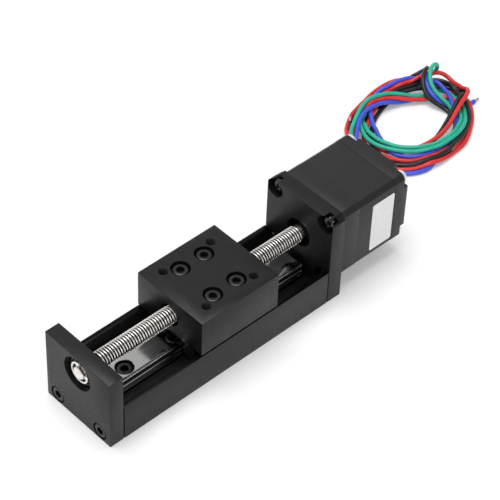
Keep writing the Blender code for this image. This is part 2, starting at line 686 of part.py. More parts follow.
def build_nut():
    profile = [(SCREW_RUN_RADIUS, 0), (NUT_RADIUS - EDGE_BREAK, 0), (NUT_RADIUS, -EDGE_BREAK),
               (NUT_RADIUS, EDGE_BREAK - NUT_LENGTH), (NUT_RADIUS - EDGE_BREAK, -NUT_LENGTH),
               (SCREW_RUN_RADIUS, -NUT_LENGTH)]
    return add_turned("lead_nut", turned_mesh(profile, MEDIUM), REARWARD, (0, CARRIAGE_REAR, SCREW_AXIS_HEIGHT),
                      material("nut_bronze", (0.55, 0.38, 0.16), 1.0, 0.35))


def build_lead_screw():
    """The whole shaft: nose and clip groove, bearing journal, threaded run and motor end."""
    groove_front = CLIP_REAR - CLIP_THICKNESS - FIT_GAP
    groove_rear = CLIP_REAR + FIT_GAP / 2
    nose = groove_front - SHAFT_NOSE
    shoulder = BEARING_REAR + FIT_GAP
    thread_end = PLATE_FRONT - SCREW_END_CLEARANCE
    tail = REAR_BELL_FRONT + MOTOR_BEARING_WIDTH
    journal, groove, body, chamfer = JOURNAL_RADIUS, CLIP_GROOVE_RADIUS, SCREW_RADIUS, EDGE_BREAK
    stations = [(0, tail), (journal - chamfer, tail), (journal, tail - chamfer), (journal, thread_end),
                (body - 2 * chamfer, thread_end), (body, thread_end - 2 * chamfer),
                (body, shoulder + chamfer), (body - chamfer, shoulder), (journal, shoulder),
                (journal, groove_rear), (groove, groove_rear), (groove, groove_front), (journal, groove_front),
                (journal, nose + chamfer), (journal - chamfer, nose), (0, nose)]
    return add_turned("lead_screw", turned_mesh(stations, MEDIUM), REARWARD, (0, 0, SCREW_AXIS_HEIGHT),
                      bright_steel("screw_steel"))


def ring_profile(inner, outer, low, high, chamfer):
    return [(inner, high), (outer - chamfer, high), (outer, high - chamfer), (outer, low + chamfer),
            (outer - chamfer, low), (inner, low)]


def build_bearing():
    axis = (0, 0, SCREW_AXIS_HEIGHT)
    low, high, edge = BEARING_FRONT, BEARING_REAR, 0.15 * MM
    race = BEARING_RADIUS - BEARING_OUTER_WALL
    bore = JOURNAL_RADIUS + FIT_GAP
    hub = bore + BEARING_INNER_WALL
    outer = ring_profile(race, BEARING_RADIUS, low, high, edge)
    inner = ring_profile(bore, hub, low, high, edge)
    add_turned("bearing_outer_ring", turned_mesh(outer, FINE), REARWARD, axis, bright_steel("outer_ring_steel"))
    add_turned("bearing_inner_ring", turned_mesh(inner, MEDIUM), REARWARD, axis, bright_steel("inner_ring_steel"))
    disc_inner, disc_outer = hub + FIT_GAP, race - FIT_GAP
    shield = turned_mesh([(disc_inner, SHIELD_THICKNESS), (disc_outer, SHIELD_THICKNESS),
                          (disc_outer, 0), (disc_inner, 0)], MEDIUM)
    levels = (low + SHIELD_SINK, high - SHIELD_SINK - SHIELD_THICKNESS)
    add_set("bearing_shield", shield, facing(REARWARD, [(0, y, SCREW_AXIS_HEIGHT) for y in levels]),
            material("shield_steel", (0.4, 0.39, 0.37), 1.0, 0.4))


def clip_outline():
    """A retaining clip: an open band whose three prongs reach into the shaft's groove."""
    mouth, prong = math.radians(38), math.radians(13)
    prongs = [math.radians(a) for a in (62, 180, 298)]
    root = CLIP_RADIUS - CLIP_BAND
    tip = CLIP_GROOVE_RADIUS + FIT_GAP
    steps = 48
    angles = [mouth + (2 * math.pi - 2 * mouth) * i / steps for i in range(steps + 1)]
    points = [(CLIP_RADIUS * math.cos(a), CLIP_RADIUS * math.sin(a)) for a in angles[::2]]
    for a in reversed(angles):
        radius = tip if min(abs(a - p) for p in prongs) < prong else root
        points.append((radius * math.cos(a), radius * math.sin(a)))
    return points


def build_clip():
    mesh = extruded_mesh(clip_outline(), CLIP_THICKNESS)
    turn = Matrix.Rotation(math.radians(205), 4, "Y")
    place = Matrix.Translation((0, CLIP_REAR - CLIP_THICKNESS / 2, SCREW_AXIS_HEIGHT))
    return add_part("retaining_clip", finish_mesh(transformed(mesh, place @ turn)), bright_steel("clip_steel"))


def build_plate_screws():
    seat = CAP_SINK + CAP_HEAD_HEIGHT
    add_set("end_plate_screw", cap_screw_mesh(PLATE_SCREW_LENGTH),
            facing(FRONTWARD, plate_screw_places(STAGE_FRONT + seat)), black_oxide("end_screw_black"))
    add_set("motor_plate_screw", cap_screw_mesh(PLATE_SCREW_LENGTH),
            facing(REARWARD, plate_screw_places(PLATE_REAR - seat)), black_oxide("plate_screw_black"))


def motor_section(inset=0.0):
    half = MOTOR_SIZE / 2 - inset
    low, high = SCREW_AXIS_HEIGHT - half, SCREW_AXIS_HEIGHT + half
    return chamfered_rectangle((-half, half), (low, high), MOTOR_CHAMFER, "tb")


def motor_slice(name, front, rear, inset, mat):
    mesh = extruded_mesh(motor_section(inset), rear - front)
    transformed(mesh, Matrix.Translation((0, (front + rear) / 2, 0)))
    return add_part(name, finish_mesh(mesh), mat)


def build_motor():
    paint = (0.03, 0.031, 0.033)
    bell = motor_slice("motor_front_bell", MOTOR_FRONT, MOTOR_FRONT + MOTOR_BELL_LENGTH, 0,
                       material("front_bell_black", paint, 0.3, 0.45))
    add_pilot(bell)
    drill(bell, "bell_screw_holes", [(PAN_CLEAR, MOTOR_BELL_LENGTH + 2 * MM)], FRONTWARD,
          motor_hole_places(MOTOR_FRONT))
    front = (0, MOTOR_FRONT - MOTOR_PILOT_LENGTH, SCREW_AXIS_HEIGHT)
    add_motor_bearing("motor_front_bearing", bell, front, FRONTWARD, MOTOR_PILOT_LENGTH + MOTOR_BELL_LENGTH + MM)

    stator = motor_slice("motor_stator", STATOR_FRONT, STATOR_REAR, MOTOR_STATOR_INSET,
                         material("stator_black", (0.028, 0.028, 0.029), 0.2, 0.55))
    drill(stator, "stator_screw_holes", [(PAN_CLEAR, MOTOR_STATOR_LENGTH + MM)], FRONTWARD,
          motor_hole_places(STATOR_FRONT))
    axis = [(0, STATOR_FRONT, SCREW_AXIS_HEIGHT)]
    drill(stator, "rotor_bore", [(MOTOR_ROTOR_RADIUS + SEAT_GAP, MOTOR_STATOR_LENGTH + MM)], FRONTWARD, axis, FINE)
    add_rotor()

    rear = motor_slice("motor_rear_bell", REAR_BELL_FRONT, MOTOR_REAR, 0,
                       material("rear_bell_black", paint, 0.3, 0.45))
    middle = (0, REAR_BELL_FRONT, SCREW_AXIS_HEIGHT)
    add_motor_bearing("motor_rear_bearing", rear, middle, FRONTWARD, MOTOR_BEARING_WIDTH + 2 * SEAT_GAP)
    cut_rear_pockets(rear)
    drill(rear, "rear_screw_holes", [(PAN_CLEAR, MOTOR_REAR_LENGTH + MM)], REARWARD,
          motor_hole_places(MOTOR_REAR))
    drill(rear, "rear_dish", [(MOTOR_REAR_DISH_RADIUS, MOTOR_REAR_DISH_DEPTH)], REARWARD,
          [(0, MOTOR_REAR, SCREW_AXIS_HEIGHT)], MEDIUM)
    add_grommet(rear)

    mount_seat = PLATE_FRONT + MOTOR_POCKET_DEPTH - SEAT_GAP
    add_set("motor_mount_screw", pan_screw_mesh(PAN_MOUNT_LENGTH),
            facing(FRONTWARD, motor_hole_places(mount_seat)), bright_steel("mount_screw_steel"))
    tie_seat = MOTOR_REAR - MOTOR_REAR_POCKET_DEPTH + SEAT_GAP
    add_set("motor_tie_screw", pan_screw_mesh(PAN_TIE_LENGTH), facing(REARWARD, motor_hole_places(tie_seat)),
            bright_steel("tie_screw_steel"))


def add_motor_bearing(name, bell, face, direction, shaft_depth):
    """A small bearing sunk in a bell's face, with the shaft's hole behind it."""
    bore = JOURNAL_RADIUS + SEAT_GAP
    drill(bell, name + "_seat", [(MOTOR_BEARING_RADIUS + FIT_GAP, MOTOR_BEARING_WIDTH + SEAT_GAP),
                                 (bore, shaft_depth)], direction, [face], MEDIUM)
    ring = ring_profile(bore, MOTOR_BEARING_RADIUS, 0, MOTOR_BEARING_WIDTH, 0.15 * MM)
    add_turned(name, turned_mesh(ring, MEDIUM), REARWARD, face, bright_steel(name + "_steel"))


def add_rotor():
    """The magnet rotor that sits on the rear half of the lead screw's shaft."""
    low, high = STATOR_FRONT + MOTOR_ROTOR_SHORT, STATOR_REAR - MOTOR_ROTOR_SHORT
    profile = ring_profile(JOURNAL_RADIUS + FIT_GAP, MOTOR_ROTOR_RADIUS, low, high, EDGE_BREAK)
    add_turned("motor_rotor", turned_mesh(profile, MEDIUM), REARWARD, (0, 0, SCREW_AXIS_HEIGHT),
               material("rotor_steel", (0.35, 0.35, 0.34), 1.0, 0.4))


def add_pilot(bell):
    """The round spigot on the front bell that centres the motor in its plate."""
    root = -0.5 * MM
    mesh = transformed(cylinder_mesh(MOTOR_PILOT_RADIUS, root, MOTOR_PILOT_LENGTH, FINE),
                       pointing(FRONTWARD, (0, MOTOR_FRONT, SCREW_AXIS_HEIGHT)))
    modifier = bell.modifiers.new("pilot", "BOOLEAN")
    modifier.operation = "UNION"
    modifier.solver = "EXACT"
    modifier.object = cutter("pilot_spigot", mesh)


def cut_rear_pockets(rear):
    """Square corner pockets with a rounded inner corner, open to the motor's edges."""
    reach, side = 2 * MM, MOTOR_REAR_POCKET
    half = MOTOR_SIZE / 2
    radius = side * 0.55
    inner = half - side
    outline = [(half + reach, inner), (half + reach, half + reach), (inner, half + reach)]
    for step in range(5):
        angle = math.pi + math.pi / 2 * step / 4
        outline.append((inner + radius + radius * math.cos(angle), inner + radius + radius * math.sin(angle)))
    pocket = extruded_mesh(outline, MOTOR_REAR_POCKET_DEPTH + 2 * MM)
    transformed(pocket, Matrix.Translation((0, MOTOR_REAR - MOTOR_REAR_POCKET_DEPTH / 2 + MM, 0)))
    turns = [Matrix.Translation((0, 0, SCREW_AXIS_HEIGHT)) @ Matrix.Rotation(math.pi / 2 * i, 4, "Y")
             for i in range(4)]
    cut(rear, cutter("rear_pockets", joined_copies(pocket, turns)))


def add_grommet(rear):
    """The insert on the motor's left side that the four leads come out of."""
    middle = REAR_BELL_FRONT + GROMMET_SETBACK
    side = -MOTOR_SIZE / 2
    deep, tall = GROMMET_DEPTH / 2, GROMMET_HEIGHT / 2
    seat = SEAT_GAP
    slot = box_mesh((side - MM, side + GROMMET_THICKNESS - GROMMET_PROUD + seat),
                    (middle - deep - seat, middle + deep + seat),
                    (SCREW_AXIS_HEIGHT - tall - seat, SCREW_AXIS_HEIGHT + tall + seat))
    cut(rear, cutter("grommet_slot", slot))
    mesh = box_mesh((side - GROMMET_PROUD, side - GROMMET_PROUD + GROMMET_THICKNESS),
                    (middle - deep, middle + deep), (SCREW_AXIS_HEIGHT - tall, SCREW_AXIS_HEIGHT + tall))
    grommet = add_part("lead_grommet", finish_mesh(mesh), material("grommet_plastic", (0.05, 0.05, 0.05), 0, 0.5))
    break_edges(grommet)


def smooth_route(points, spacing):
    """Points at an even spacing along a smooth curve through the route's own points."""
    knots = [Vector(p) for p in points]
    knots = [2 * knots[0] - knots[1]] + knots + [2 * knots[-1] - knots[-2]]
    dense = []
    for p0, p1, p2, p3 in zip(knots, knots[1:], knots[2:], knots[3:]):
        for step in range(40):
            t = step / 40
            dense.append(0.5 * (2 * p1 + (p2 - p0) * t + (2 * p0 - 5 * p1 + 4 * p2 - p3) * t ** 2
                                + (3 * p1 - p0 - 3 * p2 + p3) * t ** 3))
    dense.append(knots[-2])
    length = sum((b - a).length for a, b in zip(dense, dense[1:]))
    count = max(2, round(length / spacing))
    route, travelled, target = [dense[0]], 0.0, 1
    for a, b in zip(dense, dense[1:]):
        piece = (b - a).length
        while target < count and travelled + piece >= length * target / count:
            route.append(a.lerp(b, (length * target / count - travelled) / piece))
            target += 1
        travelled += piece
    route.append(dense[-1])
    return route


def lead_route(index):
    """From the grommet, out to the left, down to the surface and back to the coil."""
    exit_y = REAR_BELL_FRONT + GROMMET_SETBACK
    start_x = -MOTOR_SIZE / 2 - GROMMET_PROUD - SEAT_GAP
    height = SCREW_AXIS_HEIGHT + (index - 1.5) * LEAD_PITCH
    spread = (index - 1.5) * LEAD_SPREAD
    rest = LEAD_RADIUS + 0.1 * MM
    return [(start_x, exit_y, height),
            (start_x - 3.0 * MM, exit_y + 0.2 * MM, height - 0.1 * MM),
            (start_x - 6.8 * MM - 0.5 * spread, exit_y + 3.2 * MM, height * 0.9),
            (start_x - 11.0 * MM - spread, exit_y + 9.0 * MM, height * 0.52),
            coil_entry(index, 6.5 * MM, rest + 2.2 * MM),
            coil_entry(index, 3.0 * MM, rest + 0.4 * MM),
            coil_entry(index, 0, rest)]


def coil_frame():
    """The coil's own axes: X along its long way, Z up."""
    place = Matrix.Translation((-COIL_ASIDE, MOTOR_REAR + COIL_BEHIND, 0))
    return place @ Matrix.Rotation(math.radians(90 + COIL_TILT), 4, "Z")


def coil_entry(index, distance, level):
    """A point on a lead's straight way to the coil, this far from its end."""
    angle = math.radians(COIL_ENTRY - COIL_ENTRY_STEP * (index - 1.5))
    edge = Vector((COIL_LONG * math.cos(angle), COIL_SHORT * math.sin(angle), 0))
    outward = Vector((math.cos(angle) / COIL_LONG, math.sin(angle) / COIL_SHORT, 0)).normalized()
    place = coil_frame() @ (edge + outward * (2 * SEAT_GAP + distance))
    return (place.x, place.y, level)


def build_leads():
    colours = {"lead_blue": (0.06, 0.12, 0.65), "lead_green": (0.03, 0.42, 0.3),
               "lead_red": (0.62, 0.03, 0.03), "lead_black": (0.012, 0.012, 0.014)}
    for index, (name, colour) in enumerate(colours.items()):
        route = smooth_route(lead_route(index), LEAD_STEP)
        curve = bpy.data.curves.new(name, "CURVE")
        curve.dimensions = "3D"
        curve.bevel_depth = LEAD_RADIUS
        curve.bevel_resolution = 2
        curve.use_fill_caps = True
        spline = curve.splines.new("POLY")
        spline.points.add(len(route) - 1)
        for point, place in zip(spline.points, route):
            point.co = (*place, 1)
        lead = bpy.data.objects.new(name, curve)
        curve.materials.append(material(name + "_insulation", colour, 0.0, 0.4))
        PARTS.objects.link(lead)


def ellipse(half_x, half_y, count):
    turns = [2 * math.pi * i / count for i in range(count)]
    return [(half_x * math.cos(a), half_y * math.sin(a)) for a in turns]


def build_coil():
    """The outer shape of the coiled leads, an oval ring that lies flat."""
    outlines = [ellipse(COIL_LONG, COIL_SHORT, FINE), ellipse(COIL_HOLE_LONG, COIL_HOLE_SHORT, FINE)]
    mesh = transformed(filled_mesh(outlines, COIL_HEIGHT), Matrix.Translation((0, 0, COIL_HEIGHT / 2)))
    coil = add_part("lead_coil", finish_mesh(mesh), material("coil_insulation", (0.3, 0.05, 0.06), 0.0, 0.45))
    coil.matrix_world = coil_frame()
    break_edges(coil, COIL_EDGE, 2)
    return coil


def build_stage():
    build_base()
    build_end_plate()
    build_motor_plate()
    build_rail()
    build_rail_block()
    build_carriage()
    build_nut()
    build_lead_screw()
    build_bearing()
    build_clip()
    build_plate_screws()
    build_motor()
    build_leads()
    build_coil()


build_stage()
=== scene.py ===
"""A motorised miniature linear stage on a pale floor: black machined blocks, a bright lead screw and rail,
a small stepper motor and its four coiled leads.  Metres; X across, Y from the free end to the motor, Z up."""
import math

import bmesh
import bpy
from mathutils import Matrix, Vector
from mathutils.kdtree import KDTree


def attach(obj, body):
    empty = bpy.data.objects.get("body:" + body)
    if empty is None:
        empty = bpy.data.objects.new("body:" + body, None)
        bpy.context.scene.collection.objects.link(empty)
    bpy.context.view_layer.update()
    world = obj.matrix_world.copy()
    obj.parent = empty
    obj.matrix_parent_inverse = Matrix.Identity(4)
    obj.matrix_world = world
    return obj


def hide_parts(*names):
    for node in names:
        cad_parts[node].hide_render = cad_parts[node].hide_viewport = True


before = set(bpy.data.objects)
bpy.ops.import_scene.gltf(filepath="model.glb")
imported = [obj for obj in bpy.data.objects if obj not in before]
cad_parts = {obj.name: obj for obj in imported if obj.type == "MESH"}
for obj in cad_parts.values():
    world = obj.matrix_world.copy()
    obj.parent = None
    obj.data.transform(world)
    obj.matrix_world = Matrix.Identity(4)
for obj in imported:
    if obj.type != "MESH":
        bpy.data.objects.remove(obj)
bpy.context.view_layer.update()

MM = 0.001
FRONTWARD, REARWARD, UPWARD = Vector((0, -1, 0)), Vector((0, 1, 0)), Vector((0, 0, 1))


def mm(*values):
    """Lengths in millimetres, as metres."""
    return tuple(value * MM for value in values)


# Sizes, levels and stations of the stage, as in the CAD
HALF_WIDTH = 15.0 * MM
AXIS = 21.0 * MM    # the screw's level
BASE_FRONT, BASE_REAR = mm(-43.4, 43.4)
BASE_HEIGHT, BASE_WALL, BASE_FLOOR = mm(13.7, 2.0, 5.4)
SLOT_HALF, SLOT_FLOOR = mm(4.8, 3.7)
STAGE_FRONT, END_PLATE_REAR, END_PLATE_HEIGHT = mm(-49.2, -43.7, 28.0)
PLATE_FRONT, PLATE_REAR, PLATE_HEIGHT, PLATE_CHAMFER = mm(43.7, 49.5, 35.8, 2.1)
RAIL_FRONT, RAIL_REAR, RAIL_FOOT, RAIL_TOP = mm(-43.0, 42.0, 4.0, 10.5)
CARRIAGE_FRONT, CARRIAGE_REAR, CARRIAGE_MIDDLE = mm(-12.0, 20.5, 4.25)
CARRIAGE_BOTTOM, CARRIAGE_TOP = mm(14.3, 28.5)
NUT_LENGTH, NUT_RADIUS, NUT_BORE = mm(18.0, 5.0, 3.3)
MOTOR_FRONT, BELL_REAR = mm(49.8, 57.06)
STATOR_FRONT, STATOR_REAR = mm(57.1, 73.4)
REAR_BELL_FRONT, MOTOR_REAR = mm(73.44, 79.4)
MOTOR_HALF, MOTOR_CHAMFER = mm(14.0, 1.6)
THREAD_ROOT, THREAD_CREST, THREAD_PITCH = mm(2.42, 3.0, 1.0)
THREAD_FRONT, THREAD_REAR = mm(-44.3, 42.7)
JOURNAL, SHAFT_FRONT, SHAFT_REAR = mm(2.5, -48.95, 76.2)
BEARING_FRONT, BEARING_REAR = mm(-47.5, -44.5)
GROOVE_FRONT, GROOVE_REAR, CLIP_STATION = mm(-48.5, -47.6, -48.1)

# Screws and holes: patterns, clearance radii, and counterbores as (radius, depth)
RAIL_HOLES = mm(-30.5, -10.5, 9.5, 29.5)
FOOT_PITCHES, SCREW_PITCHES, PAYLOAD_PITCHES = mm(20, 60), mm(15, 10), mm(20, 20)
PLATE_SCREW_X, PLATE_SCREW_LEVEL = mm(10.0, 3.3)
MOTOR_PITCH = 23.0 * MM
CAP_CLEAR, PAN_CLEAR = mm(1.8, 1.55)
RAIL_BORE, CARRIAGE_BORE, PLATE_BORE = mm(3.05, 3.5), mm(3.2, 3.5), mm(3.0, 3.5)
MOUNT_POCKET = mm(3.45, 3.0)
# Undersides of the screws' heads, first below the faces and then above the floor
PLATE_SEAT, MOUNT_SEAT, TIE_SEAT = mm(3.2, 2.7, 1.5)
RAIL_SEAT, CARRIAGE_SEAT = mm(7.3, 25.3)
PAST = 1.0 * MM     # how far a drill goes past the far face
CRISP = 0.03 * MM   # chamfer at the mouth of a plate's screw hole
FEW, FINE = 24, 96  # facets of hidden and of large round shapes


# Materials

def wired(tree, kind, sockets=(), **settings):
    """A new shader node, whose sockets take a value or a link from another node."""
    node = tree.nodes.new(kind)
    for key, value in settings.items():
        setattr(node, key, value)
    for key, value in dict(sockets).items():
        if isinstance(value, bpy.types.NodeSocket):
            tree.links.new(value, node.inputs[key])
        else:
            node.inputs[key].default_value = value
    return node


class Look:
    """A procedural material whose textures lie in the piece's own metres."""

    def __init__(self, name, metallic, roughness, specular=0.5):
        self.mat = bpy.data.materials.new(name)
        self.mat.use_nodes = True
        self.tree = self.mat.node_tree
        self.shader = self.tree.nodes["Principled BSDF"]
        for socket, value in (("Metallic", metallic), ("Roughness", roughness), ("Specular IOR Level", specular)):
            self.shader.inputs[socket].default_value = value
        self.place = self.tree.nodes.new("ShaderNodeTexCoord").outputs["Object"]

    def node(self, kind, **values):
        return wired(self.tree, kind, {key.replace("_", " "): value for key, value in values.items()})

    def noise(self, size, detail=3.0, stretch=(1, 1, 1)):
        """Cloudy noise with features of a size in metres, drawn out along some axes."""
        mapping = self.node("ShaderNodeMapping", Vector=self.place,
                            Scale=tuple(1.0 / (size * s) for s in stretch))
        return self.node("ShaderNodeTexNoise", Vector=mapping.outputs[0], Scale=1.0, Detail=detail).outputs[0]

    def ranged(self, value, low, high, start=0.3, end=0.7):
        return self.node("ShaderNodeMapRange", Value=value, From_Min=start, From_Max=end,
                         To_Min=low, To_Max=high).outputs[0]

    def colour(self, value, dark, light):
        mix = wired(self.tree, "ShaderNodeMix", {0: self.ranged(value, 0.0, 1.0), 6: (*dark, 1.0), 7: (*light, 1.0)},
                    data_type="RGBA")
        self.tree.links.new(mix.outputs[2], self.shader.inputs["Base Color"])

    def rough(self, value, low, high):
        self.tree.links.new(self.ranged(value, low, high), self.shader.inputs["Roughness"])

    def bump(self, value, depth, strength=1.0):
        """Relief of a depth in metres, over any that is there already."""
        node = self.node("ShaderNodeBump", Height=value, Distance=depth, Strength=strength)
        normal = self.shader.inputs["Normal"]
        if normal.links:
            self.tree.links.new(normal.links[0].from_socket, node.inputs["Normal"])
        self.tree.links.new(node.outputs[0], normal)


def coated(name, metallic, roughness, shine, dark, light, cloud, shade, relief):
    """A coated or moulded surface, with clouds of a size in mm in its colour, and in its roughness and relief as
    (size, detail, low, high) and (size, detail, depth, strength)."""
    look = Look(name, metallic, roughness, shine)
    look.colour(look.noise(cloud * MM), dark, light)
    look.rough(look.noise(shade[0] * MM, shade[1]), *shade[2:])
    look.bump(look.noise(relief[0] * MM, relief[1]), relief[2] * MM, relief[3])
    return look.mat


def anodised(name, dark=0.004, light=0.007, roughness=(0.33, 0.45), shine=0.42):
    """Bead-blasted, black anodised aluminium."""
    return coated(name, 0.0, 0.4, shine, (dark, dark, dark * 1.03), (light, light, light * 1.03), 2.5,
                  (1.2, 4.0, *roughness), (0.16, 2.0, 0.02, 0.5))


def plastic(name, dark, light, roughness=0.4):
    return coated(name, 0.0, roughness, 0.5, dark, light, 1.5, (0.7, 3.0, roughness * 0.85, roughness * 1.2),
                  (0.35, 2.0, 0.008, 0.4))


def insulation(name, colour):
    """Soft coloured wire insulation, very slightly uneven."""
    return coated(name, 0.0, 0.34, 0.45, tuple(c * 0.86 for c in colour), tuple(min(1.0, c * 1.06) for c in colour),
                  4.0, (1.5, 3.0, 0.28, 0.42), (0.9, 2.0, 0.02, 0.35))


def laminated(name):
    """Painted stack of thin steel sheets: a fine line about every millimetre along the motor."""
    look = Look(name, 0.0, 0.42, 0.42)
    look.colour(look.noise(1.5 * MM, 3.0, (4, 0.3, 4)), (0.0095, 0.0095, 0.0095), (0.0125, 0.0125, 0.0122))
    look.rough(look.noise(1.0 * MM, 3.0, (3, 0.3, 3)), 0.37, 0.49)
    wave = look.node("ShaderNodeTexWave", Vector=look.place, Scale=1000 / math.pi, Distortion=0.0)
    wave.bands_direction = "Y"
    look.bump(wave.outputs[1], 0.003 * MM, 0.25)
    look.bump(look.noise(0.25 * MM), 0.01 * MM, 0.4)
    return look.mat


def steel(name, level, roughness, grain=(1, 1, 1), tint=(1.0, 0.985, 0.96), size=0.5 * MM, depth=0.0012 * MM):
    """Bare steel, with its grain drawn out along the way it was ground or turned."""
    look = Look(name, 1.0, roughness)
    fine = look.noise(size, 4.0, grain)
    low, high = level * 0.9, level
    look.colour(fine, tuple(low * t for t in tint), tuple(high * t for t in tint))
    look.rough(look.noise(size * 3, 3.0, grain), roughness * 0.75, roughness * 1.3)
    look.bump(fine, depth, 0.5)
    return look.mat


def paper(name):
    look = Look(name, 0.0, 0.55, 0.35)
    look.colour(look.noise(2 * MM, 4.0), (0.86, 0.86, 0.87), (0.91, 0.91, 0.91))
    look.bump(look.noise(0.15 * MM, 3.0), 0.006 * MM, 0.4)
    return look.mat


BLACK = anodised("anodised_black", shine=0.34)
# Painted light: a slightly lighter and shinier copy of the black anodising for the end plate, whose front catches the
# most light
END_PAINTED_LIGHT = anodised("anodised_end_painted_light", dark=0.005, light=0.008, shine=0.355)
CHANNEL_BLACK = anodised("anodised_channel", dark=0.004, light=0.006)
# Painted shade: the channel's wall tops made darker and duller than the rest of the anodising, as they look in shade
WALL_TOP_PAINTED_SHADE = anodised("anodised_wall_top_painted_shade", dark=0.002, light=0.003, roughness=(0.2, 0.28), shine=0.1)
RAIL_STEEL = steel("ground_rail_steel", 0.62, 0.12, grain=(0.6, 24, 0.6), tint=(1.0, 0.995, 0.985), depth=0.0005 * MM)
BLOCK_STEEL = steel("block_steel_ground", 0.5, 0.28, grain=(1, 8, 1))
THREAD_STEEL = steel("rolled_screw_steel", 0.95, 0.3, tint=(1.0, 0.955, 0.925), depth=0.0004 * MM)
# Painted shade: near-black steel on the thread's roots and lower flanks, for the shade between the crests
ROOT_PAINTED_SHADE = steel("thread_root_painted_shade", 0.035, 0.4, tint=(1.0, 0.93, 0.86))
# Painted shade: the bearing's races and shields made dark steel, for the shade in the end plate's bore
RING_PAINTED_SHADE = steel("bearing_steel_painted_shade", 0.14, 0.3, size=0.4 * MM, depth=0.0006 * MM)
SHIELD_PAINTED_SHADE = steel("shield_steel_pressed_painted_shade", 0.12, 0.35)
CLIP_STEEL = steel("clip_spring_steel", 0.92, 0.3, size=0.4 * MM, depth=0.0006 * MM)
# Painted shade: nickel screws darkened to about a tenth, for the shade of the pockets and corners they sit in
NICKEL_PAINTED_SHADE = steel("nickel_screw_painted_shade", 0.1, 0.26)
# Painted shade: dark steel on the walls of the rail's screw holes, for the shade inside them
HOLE_PAINTED_SHADE = steel("rail_hole_painted_shade", 0.05, 0.35)
ZINC = coated("zinc_screw", 0.55, 0.34, 0.5, (0.84, 0.84, 0.82), (0.93, 0.93, 0.91), 0.6, (0.5, 3.0, 0.28, 0.42),
              (0.2, 2.0, 0.003, 0.4))
BRONZE = steel("bronze_nut", 0.5, 0.3, tint=(1.0, 0.68, 0.3))
ROTOR = steel("rotor_laminations", 0.35, 0.4, grain=(1, 0.4, 1))
OXIDE = coated("black_oxide_screw", 0.0, 0.35, 0.5, (0.004, 0.004, 0.0045), (0.009, 0.009, 0.0095), 0.5,
               (0.4, 3.0, 0.24, 0.40), (0.12, 2.0, 0.01, 0.4))
MOTOR_PAINT = coated("motor_paint", 0.0, 0.42, 0.42, (0.0095, 0.0095, 0.0095), (0.0125, 0.0125, 0.0125), 3.0,
                     (0.8, 3.0, 0.36, 0.5), (0.3, 3.0, 0.025, 0.5))
STATOR = laminated("stator_laminations")
CAP_PLASTIC = plastic("end_cap_nylon", (0.012, 0.013, 0.013), (0.022, 0.022, 0.023))
GROMMET = plastic("grommet_rubber", (0.02, 0.02, 0.021), (0.032, 0.032, 0.033), 0.5)
LABEL = paper("label_paper")
TINNED = steel("tinned_copper", 0.75, 0.3, tint=(1.0, 0.95, 0.86))
INSULATION = {"blue": insulation("insulation_blue_look", (0.061, 0.102, 0.716)),
              "green": insulation("insulation_green_look", (0.021, 0.456, 0.305)),
              "red": insulation("insulation_red_look", (0.716, 0.032, 0.032)),
              "black": insulation("insulation_black_look", (0.0115, 0.0125, 0.0125))}


# Shapes

def placed(name, data):
    """A new object in the scene."""
    obj = bpy.data.objects.new(name, data)
    bpy.context.scene.collection.objects.link(obj)
    return obj


def mesh_of(bm, name):
    """The mesh of a bmesh, which is freed."""
    mesh = bpy.data.meshes.new(name)
    bm.to_mesh(mesh)
    bm.free()
    return mesh


def ring_at(points, level):
    """A ring of points from their radii and angles."""
    return [(radius * math.cos(a), radius * math.sin(a), level) for radius, a in points]


def rounded(radius, level, count=48):
    return ring_at([(radius, 2 * math.pi * i / count) for i in range(count)], level)


def hexagon(across, level, count=48):
    """A ring of points on a hexagon, as many as on a round one."""
    angles = [2 * math.pi * i / count for i in range(count)]
    return ring_at([(across / 2 / math.cos((a + math.pi / 6) % (math.pi / 3) - math.pi / 6), a) for a in angles], level)


CROSS_STEPS = [(90 * quarter, step) for quarter in range(4) for step in (-45, -33, -22, -13, 0, 13, 22, 33)]


def cross_round(radius, level):
    return ring_at([(radius, math.radians(quarter + step)) for quarter, step in CROSS_STEPS], level)


def cross_ring(arm, half, level):
    """A ring of points round a cross recess with four arms."""
    points = []
    for quarter, step in CROSS_STEPS:
        off = math.radians(abs(step))
        radius = arm / math.cos(off) if off <= math.atan2(half, arm) + 0.01 else half / math.sin(off)
        points.append((radius, math.radians(quarter + step)))
    return ring_at(points, level)


def lofted(rings, closed=False):
    """A skin through rings of points; a ring of one point closes an end."""
    bm = bmesh.new()
    rows = [[bm.verts.new(p) for p in ring] for ring in rings]
    for low, high in zip(rows, rows[1:] + (rows[:1] if closed else [])):
        count = max(len(low), len(high))
        for i in range(count):
            j = (i + 1) % count
            corners = [low[i % len(low)], low[j % len(low)], high[j % len(high)], high[i % len(high)]]
            corners = [c for k, c in enumerate(corners) if c is not corners[k - 1]]
            if len(corners) > 2:
                bm.faces.new(corners)
    bmesh.ops.recalc_face_normals(bm, faces=bm.faces)
    return mesh_of(bm, "skin")


def turned(profile, count=48):
    """Revolve (radius, height) points about Z; an open profile ends on the axis."""
    rings = [[(0, 0, h)] if r == 0 else rounded(r, h, count) for r, h in profile]
    return lofted(rings, closed=profile[0][0] > 0 and profile[-1][0] > 0)


def pointing(direction, place):
    """The matrix that stands a turned shape at a place with its top towards a direction."""
    return Matrix.Translation(Vector(place)) @ Vector(direction).to_track_quat("Z", "Y").to_matrix().to_4x4()


def extruded(points, shift):
    """A bmesh of the closed solid between a flat outline and its copy at a shift."""
    bm = bmesh.new()
    face = bm.faces.new([bm.verts.new(p) for p in points])
    grown = bmesh.ops.extrude_face_region(bm, geom=[face])["geom"]
    bmesh.ops.translate(bm, vec=shift, verts=[g for g in grown if isinstance(g, bmesh.types.BMVert)])
    bmesh.ops.recalc_face_normals(bm, faces=bm.faces)
    return bm


